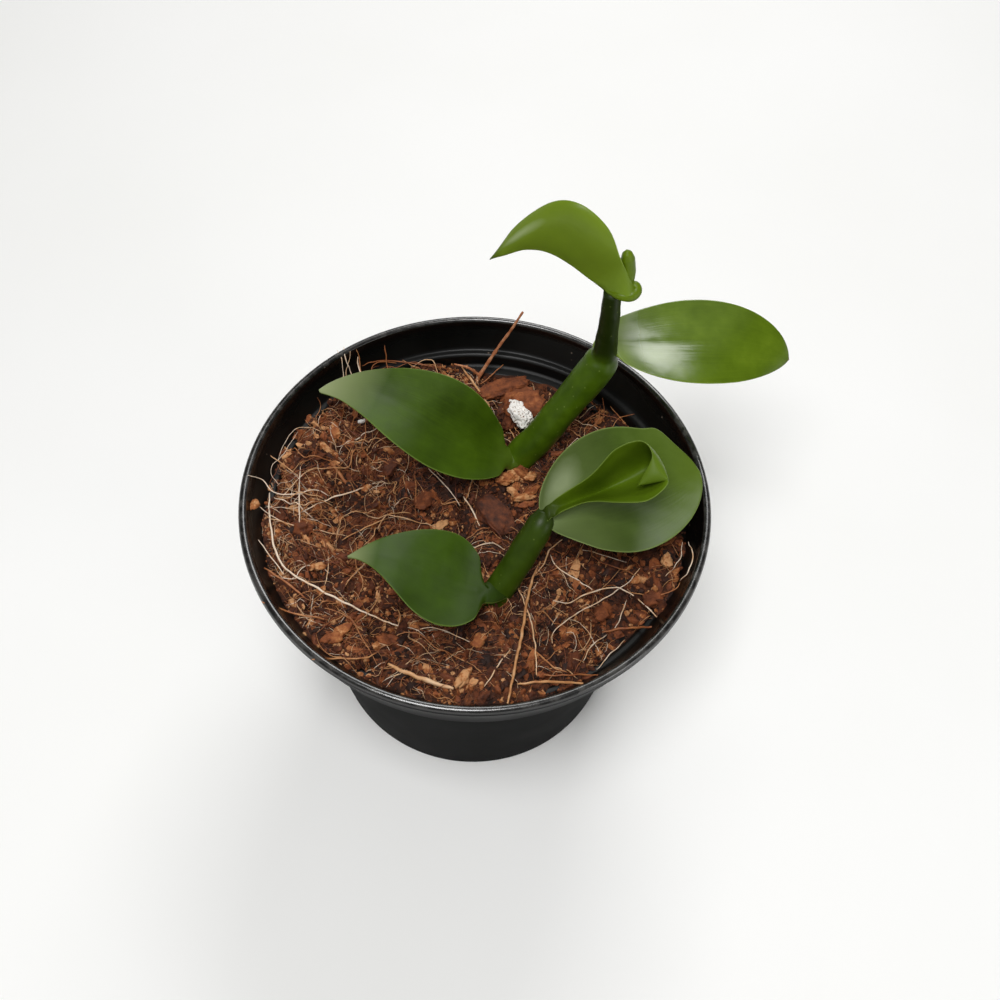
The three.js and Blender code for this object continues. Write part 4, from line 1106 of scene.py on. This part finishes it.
def leaf_rings(leaf):
    """Rings round the foot and then the blade, from inside the stem to the tip."""
    surface = guided_blade(leaf) if "near" in leaf else midrib_blade(leaf)
    around = even_turns(LEAF_AROUND)
    along = 0.5 - 0.5 * np.cos(np.linspace(0, math.pi, LEAF_ROWS + 1))
    u, s = np.meshgrid(along, np.cos(around), indexing="ij")
    du, ds = np.where(u > 0.5, -1e-3, 1e-3), np.where(s > 0, -1e-3, 1e-3)
    rings = surface(u, s)
    lengthwise = (surface(u + du, s) - rings) / du[..., None]
    sideways = (surface(u, s + ds) - rings) / ds[..., None]
    normal = np.cross(lengthwise, sideways)
    normal /= np.linalg.norm(normal, axis=2)[..., None] + 1e-12
    thickness = LEAF_EDGE + (LEAF_MIDRIB - LEAF_EDGE) * (1 - s * s) * (1 - 0.5 * u)
    thickness += leaf["fleshy_foot"] * (1 - u) ** 12 * (1 - s * s)
    rise = np.broadcast_to(np.sin(around), u.shape)
    places = rings.reshape(-1, 3)
    wave = [0.16 * noise.noise(Vector(p / 9.0)) + 0.05 * noise.noise(Vector(p / 3.0)) for p in places]
    channel = -leaf["channel"] * np.exp(-((s / 0.06) ** 2)) * (1 - u) ** 1.5
    offset = np.sign(rise) * np.abs(rise) ** 0.5 * thickness / 2 + np.reshape(wave, u.shape) + channel
    rings = rings + normal * offset[..., None]
    if "stalk" in leaf:
        zero = np.zeros(1)
        middle = [surface(zero + place, zero)[0] for place in (0.0, 0.05)]
        across = (surface(zero + 0.04, zero + 0.5) - surface(zero + 0.04, zero - 0.5))[0]
        run = smooth_line([leaf["stalk"], *middle], 16)[:STALK_ROWS]
        first = along[along < FOOT_END]
        feet = np.vstack([run, surface(first, 0 * first)])
        tubes = []
        for centre, forward in zip(feet, np.gradient(feet, axis=0)):
            forward /= np.linalg.norm(forward)
            side = across - forward * (across @ forward)
            side /= np.linalg.norm(side)
            axes = [STALK_WIDE * side, STALK_THICK * np.cross(forward, side), forward]
            tubes.append(centre + leaf["stalk_radius"] * level_circle(LEAF_AROUND) @ axes)
        weight = smoothstep(first, 0, FOOT_END)[:, None, None]
        rings[: len(first)] = np.array(tubes[STALK_ROWS:]) * (1 - weight) + rings[: len(first)] * weight
        rings = np.vstack([tubes[:STALK_ROWS], rings])
        along = np.r_[np.linspace(-0.1, -0.01, STALK_ROWS), along]
    values = {
        "along": np.r_[np.repeat(along, LEAF_AROUND), along[0], 1],
        "across": np.r_[np.tile(np.cos(around), len(along)), 0, 0],
        "underside": np.r_[np.tile(np.sin(around) < 0, len(along)), 0, 0],
    }
    return rings, values


VEIN_STRETCH = (3.0, 26.0, 0.0)
# The painted sheen: a pale spot stretched along the blade, which stands in for a highlight.
SHEEN_SPOT_STRETCH = (6.0, 2.2, 0.0)
PAINTED_SHEEN_COLOUR = "B9C49E"


def waxy_leaf(name, greens, pale, margin, foot, tip, gloss, painted_sheen=None):
    """Waxy leaf skin: mottled green, streaked by its veins, with a thin pale margin.

    The foot and the tip are each a colour, where it fades out and how much of it there is: real
    colour on some leaves, painted shade or painted sheen on others. A painted sheen is a pale spot
    of painted highlight: its place along, its place across and how much of it there is.
    """
    material, tree, shader, place = new_material(name, IOR=1.45)
    feed(tree, shader, {"Specular IOR Level": gloss})
    along, across, underside = (
        add(tree, "ShaderNodeAttribute", attribute_name=value).outputs["Fac"]
        for value in ("along", "across", "underside")
    )
    mottle = add(
        tree, "ShaderNodeTexNoise", {"Vector": place, "Scale": 55.0, "Detail": 5.0, "Roughness": 0.6}
    )
    on_blade = add(tree, "ShaderNodeCombineXYZ", {"X": along, "Y": across})
    stretched = add(tree, "ShaderNodeVectorMath", {0: on_blade, 1: VEIN_STRETCH}, operation="MULTIPLY")
    veins = add(tree, "ShaderNodeTexNoise", {"Vector": stretched, "Scale": 1.0, "Detail": 4.0})
    outward = add(tree, "ShaderNodeMath", {0: across}, operation="ABSOLUTE")
    layers = [
        (veins, 0.45, 0.8, 0.2, greens[2]),
        (underside, 0.4, 0.6, 0.55, pale),
        (along, foot[1], -0.02, foot[2], foot[0]),
        (along, tip[1], 1.0, tip[2], tip[0]),
        (outward, 0.975, 0.998, 0.75, margin),
    ]
    stops = list(zip((0.3, 0.55, 0.85), greens))
    colour = add(tree, "ShaderNodeValToRGB", {0: mottle}, stops=stops).outputs[0]
    # A pale spot of painted highlight, with a mottled edge.
    if painted_sheen:
        middle = (SHEEN_SPOT_STRETCH[0] * painted_sheen[0], SHEEN_SPOT_STRETCH[1] * painted_sheen[1], 0.0)
        spot = add(tree, "ShaderNodeVectorMath", {0: on_blade, 1: SHEEN_SPOT_STRETCH}, operation="MULTIPLY")
        away = add(tree, "ShaderNodeVectorMath", {0: spot, 1: middle}, operation="DISTANCE")
        away = add(tree, "ShaderNodeMath", {0: mottle, 1: 0.9, 2: away}, operation="MULTIPLY_ADD")
        layers.append((away, 1.3, 0.7, painted_sheen[2], PAINTED_SHEEN_COLOUR))
    for value, low, high, most, over in layers:
        share = add(
            tree, "ShaderNodeMapRange", {"Value": value, "From Min": low, "From Max": high, "To Max": most}
        )
        colour = add(tree, "ShaderNodeMix", {"Factor": share, "A": colour, "B": over}, data_type="RGBA")
    speck = scattered_specks(tree, place, 110.0, 0.035, 0.02, 0.6, 0.6)
    colour = add(tree, "ShaderNodeMix", {"Factor": speck, "A": colour, "B": "C9D3A8"}, data_type="RGBA")
    low, high = 0.42 - 0.3 * gloss, 0.52 - 0.3 * gloss
    satin = add(
        tree, "ShaderNodeMapRange",
        {"Value": mottle, "From Min": 0.3, "From Max": 0.7, "To Min": low, "To Max": high},
    )
    foot_dull = add(
        tree, "ShaderNodeMapRange",
        {"Value": along, "From Min": 0.2, "From Max": 0.08, "To Max": 0.4 * gloss},
    )
    satin = add(tree, "ShaderNodeMath", {0: satin, 1: foot_dull}, operation="ADD")
    bump = add(tree, "ShaderNodeBump", {"Height": veins, "Strength": 0.1, "Distance": 0.0004})
    feed(tree, shader, {"Base Color": colour, "Roughness": satin, "Normal": bump})
    return material


# Mature skin: a pale grey-green foot, and a pale tip that is a painted sheen.
mature_skin = waxy_leaf(
    "waxy_mature_leaf", ("283B00", "364D01", "486305"), "667C28", "71893A",
    ("5A7020", 0.13, 0.5), ("9CA678", 0.7, 0.85), 0.22,
)
# Half-grown skin: lighter and yellower than the mature skin, partly for its youth and partly painted light
# for a leaf that stands brightly lit. Its foot is yellow-green and its tip brown, and its pale spot near the
# foot is a painted sheen.
half_grown_lit_skin = waxy_leaf(
    "waxy_half_grown_lit_leaf", ("425804", "546C08", "6B8316"), "748C2E", "84993E",
    ("728A0C", 0.14, 0.9), ("5C4A1E", 0.985, 0.9), 0.85, (0.25, -0.3, 0.3),
)
# Shaded skin: a darker copy of the mature skin with a dark foot, as painted shade for the low front leaf;
# its pale tip is a painted sheen.
shaded_skin = waxy_leaf(
    "waxy_shaded_leaf", ("263A00", "324A01", "405C05"), "5C7022", "687E34",
    ("24360A", 0.14, 0.8), ("9CA678", 0.8, 0.7), 0.22,
)
# The broad front leaf's skin: its greyed greens, its pale greyish foot and its pale spot are painted sheen,
# for the broad haze and the highlight near its foot.
painted_haze_skin = waxy_leaf(
    "painted_haze_leaf", ("35490A", "425715", "516722"), "64783A", "788A4A",
    ("7C8A5C", 0.6, 0.6), ("5E7420", 0.6, 0.6), 0.35, (0.227, 0.568, 0.42),
)
# Young skin: darker at the tip, and the pale spot near the tip is a painted sheen.
young_skin = waxy_leaf(
    "waxy_young_leaf", ("4A5F03", "5B7205", "6C8413"), "748B28", "869C3A",
    ("66801A", 0.13, 0.5), ("34460A", 0.88, 0.8), 0.28, (0.78, 0.0, 0.36),
)
# Unfolding skin: its near-black foot is painted shade, in the socket where the leaf rises between the stem
# and the broad leaf.
unfolding_skin = waxy_leaf(
    "waxy_unfolding_leaf", ("415608", "50680C", "5F7616"), "5A7020", "6B8034",
    ("1C2802", 0.15, 0.9), ("52680C", 0.9, 0.2), 0.16,
)

LEAVES = {
    "leaf_rear_low": dict(
        skin=mature_skin, slot="leaf_green", node="rear_leaf_low",
        base=(10.9, 22.9, 91.9), length=73, width=33.4, heading=(198, 130, 181), pitch=(43, 27, -22.5),
        roll=(-19.5, 11.4), cup=(17, 7), fold=(2, 2), shape=(0.86, 1.3), foot=3, fleshy_foot=1.2, blunt=3.2,
        channel=0.2, stalk=(16.5, 26.6, 91.5), stalk_radius=3.1,
    ),
    "leaf_rear_side": dict(
        skin=half_grown_lit_skin, slot="leaf_green", node="rear_leaf_side",
        base=(41.2, 43.2, 129.2), length=64.6, width=31.3, heading=(-0.8, 10.9, -1.9),
        pitch=(-5.7, 18.3, -37.6), roll=(-7.5, 32.6), cup=(14, 3), fold=(1, 1), shape=(0.49, 0.68), foot=3,
        fleshy_foot=0.8, blunt=0.3, channel=0.3, stalk=(39.6, 39.2, 129), stalk_radius=3,
    ),
    "leaf_front_low": dict(
        skin=shaded_skin, slot="leaf_green", node="front_leaf_low",
        base=(4, -31, 94), length=46, width=37, heading=(180, 141, 192), pitch=(9, 38, -10), roll=(13, 12),
        cup=(4, 11), fold=(2, 4), shape=(0.65, 1.4), foot=3, fleshy_foot=1, blunt=0.6, channel=0.2,
        stalk=(8.5, -27.6, 91.5), stalk_radius=3,
    ),
    "leaf_front_broad": dict(
        skin=painted_haze_skin, slot="leaf_green", node="front_leaf_broad",
        base=(18.8, -16.6, 108.2), length=59.5, width=43.2, heading=(37.9, 10.1, 24.3),
        pitch=(-11, 1.5, -2.2), roll=(17, 15.7), cup=(34, 18), fold=(4, 4), shape=(0.6, 0.68), foot=4.4,
        fleshy_foot=0, blunt=0.3, neck=54, clasp=50, start=0.075, channel=0.1, nick=(0.838, 0.07, -0.16),
    ),
    "leaf_front_young": dict(
        skin=unfolding_skin, slot="young_green", node="front_leaf_young",
        near=[(23, -16, 116), (28, -14.5, 119), (34.5, -14, 122.5), (43, -17, 127), (51, -18, 130),
              (57.5, -11, 130), (48.5, -11, 127)],
        middle=[(22.5, -13.5, 115.5), (29.7, -10, 116), (38.8, -5.5, 116), (47.8, -2.5, 118.5),
                (55.2, -1, 123), (55.5, -7.5, 131), (48.5, -11, 127)],
        far=[(21.5, -12, 117), (28, -9.5, 121.5), (35, -7.5, 128), (41.5, -2.5, 134), (49, -0.5, 136),
             (52.5, -4.5, 134), (48.5, -11, 127)],
        fleshy_foot=0.4, channel=0, stalk=(20.4, -14.6, 110), stalk_radius=1.6,
    ),
    "leaf_rear_top": dict(
        skin=young_skin, slot="young_green", node="rear_leaf_top",
        near=[(36.8, 36.4, 161.6), (32.5, 38, 164), (26, 40, 168), (19.5, 42, 170.5), (13, 43.5, 170),
              (7, 45, 166), (3, 46.5, 163)],
        middle=[(42.5, 31.6, 163.2), (38, 35.5, 170), (32, 36, 180), (24.5, 39, 184.5), (17, 41.5, 182.5),
                (9, 44.5, 173), (3, 46.5, 163)],
        far=[(45.4, 34.6, 165.2), (40.2, 33.7, 176), (35.5, 36, 186), (27.5, 40, 191), (19.5, 44, 188),
             (10, 46, 177), (3, 46.5, 163)],
        fleshy_foot=0.5, channel=0,
    ),
}
for name, leaf in LEAVES.items():
    rings, values = leaf_rings(leaf)
    hand_over(make_piece(name, *skin(rings), leaf["skin"], attributes=values), leaf["slot"], leaf["node"])

# The top leaf's sheath and the shoot bud: the leaf's foot rolls into a thick hooked rim round
# the growing point, and the next leaf stands behind it, still rolled up like a quill.

SHEATH = [
    (36.6, 37, 161.7), (38, 34.6, 162.7), (39.8, 32.8, 163.4), (41.8, 32, 163.5), (44.1, 32.3, 163.4),
    (45.8, 33.4, 164), (45.7, 34.6, 165), (44.3, 34.7, 165.6),
]
SHEATH_RADIUS = [(0, 0.5), (0.3, 0.9), (0.5, 1.4), (0.7, 1.9), (0.85, 1.8), (0.95, 1.4), (1, 0.8)]
BUD = [(43.4, 35.2, 163.5), (43, 35.8, 170), (41.7, 36.3, 177.6)]
BUD_RADIUS = [(0, 1.6), (0.45, 2.2), (0.8, 2.1), (0.93, 1.5), (1, 0.5)]
SHEATH_STEPS, SHEATH_SIDES = 40, 32
BUD_STEPS, BUD_SIDES = 60, 48
SEAM_TURN = 4.4
SEAM_TWIST = 0.6
SEAM_STEP = 0.12
BUD_AGE = (0.1, 0.6)

centres = smooth_line(SHEATH, SHEATH_STEPS)
points, faces = skin(rings_along(centres, tapered(SHEATH_RADIUS, SHEATH_STEPS), SHEATH_SIDES))
none = [0.0] * len(points)
sheath_values = {"along": [0.5] * len(points), "across": none, "underside": none}
sheath = make_piece("top_leaf_sheath", points, faces, young_skin, attributes=sheath_values)
hand_over(sheath, "young_green", "rear_leaf_top")

centres = smooth_line(BUD, BUD_STEPS)
rings = rings_along(centres, tapered(BUD_RADIUS, BUD_STEPS), BUD_SIDES)
bud_across = []
for i, ring in enumerate(rings):
    seam = (even_turns(BUD_SIDES) - SEAM_TURN - SEAM_TWIST * i / BUD_STEPS) % (2 * math.pi)
    bud_across += list(seam / math.pi - 1)
    rolled = 1 + SEAM_STEP * (seam / (2 * math.pi) - 0.5)
    rings[i] = centres[i] + (ring - centres[i]) * rolled[:, None]
points, faces = skin(rings)
bud_values = {
    "along": np.r_[np.repeat(np.linspace(*BUD_AGE, BUD_STEPS + 1), BUD_SIDES), BUD_AGE],
    "across": np.r_[bud_across, 0, 0],
    "underside": [0.0] * len(points),
}
bud = make_piece("rolled_shoot_bud", points, faces, young_skin, attributes=bud_values)
hand_over(bud, "young_green", "rear_shoot_bud")
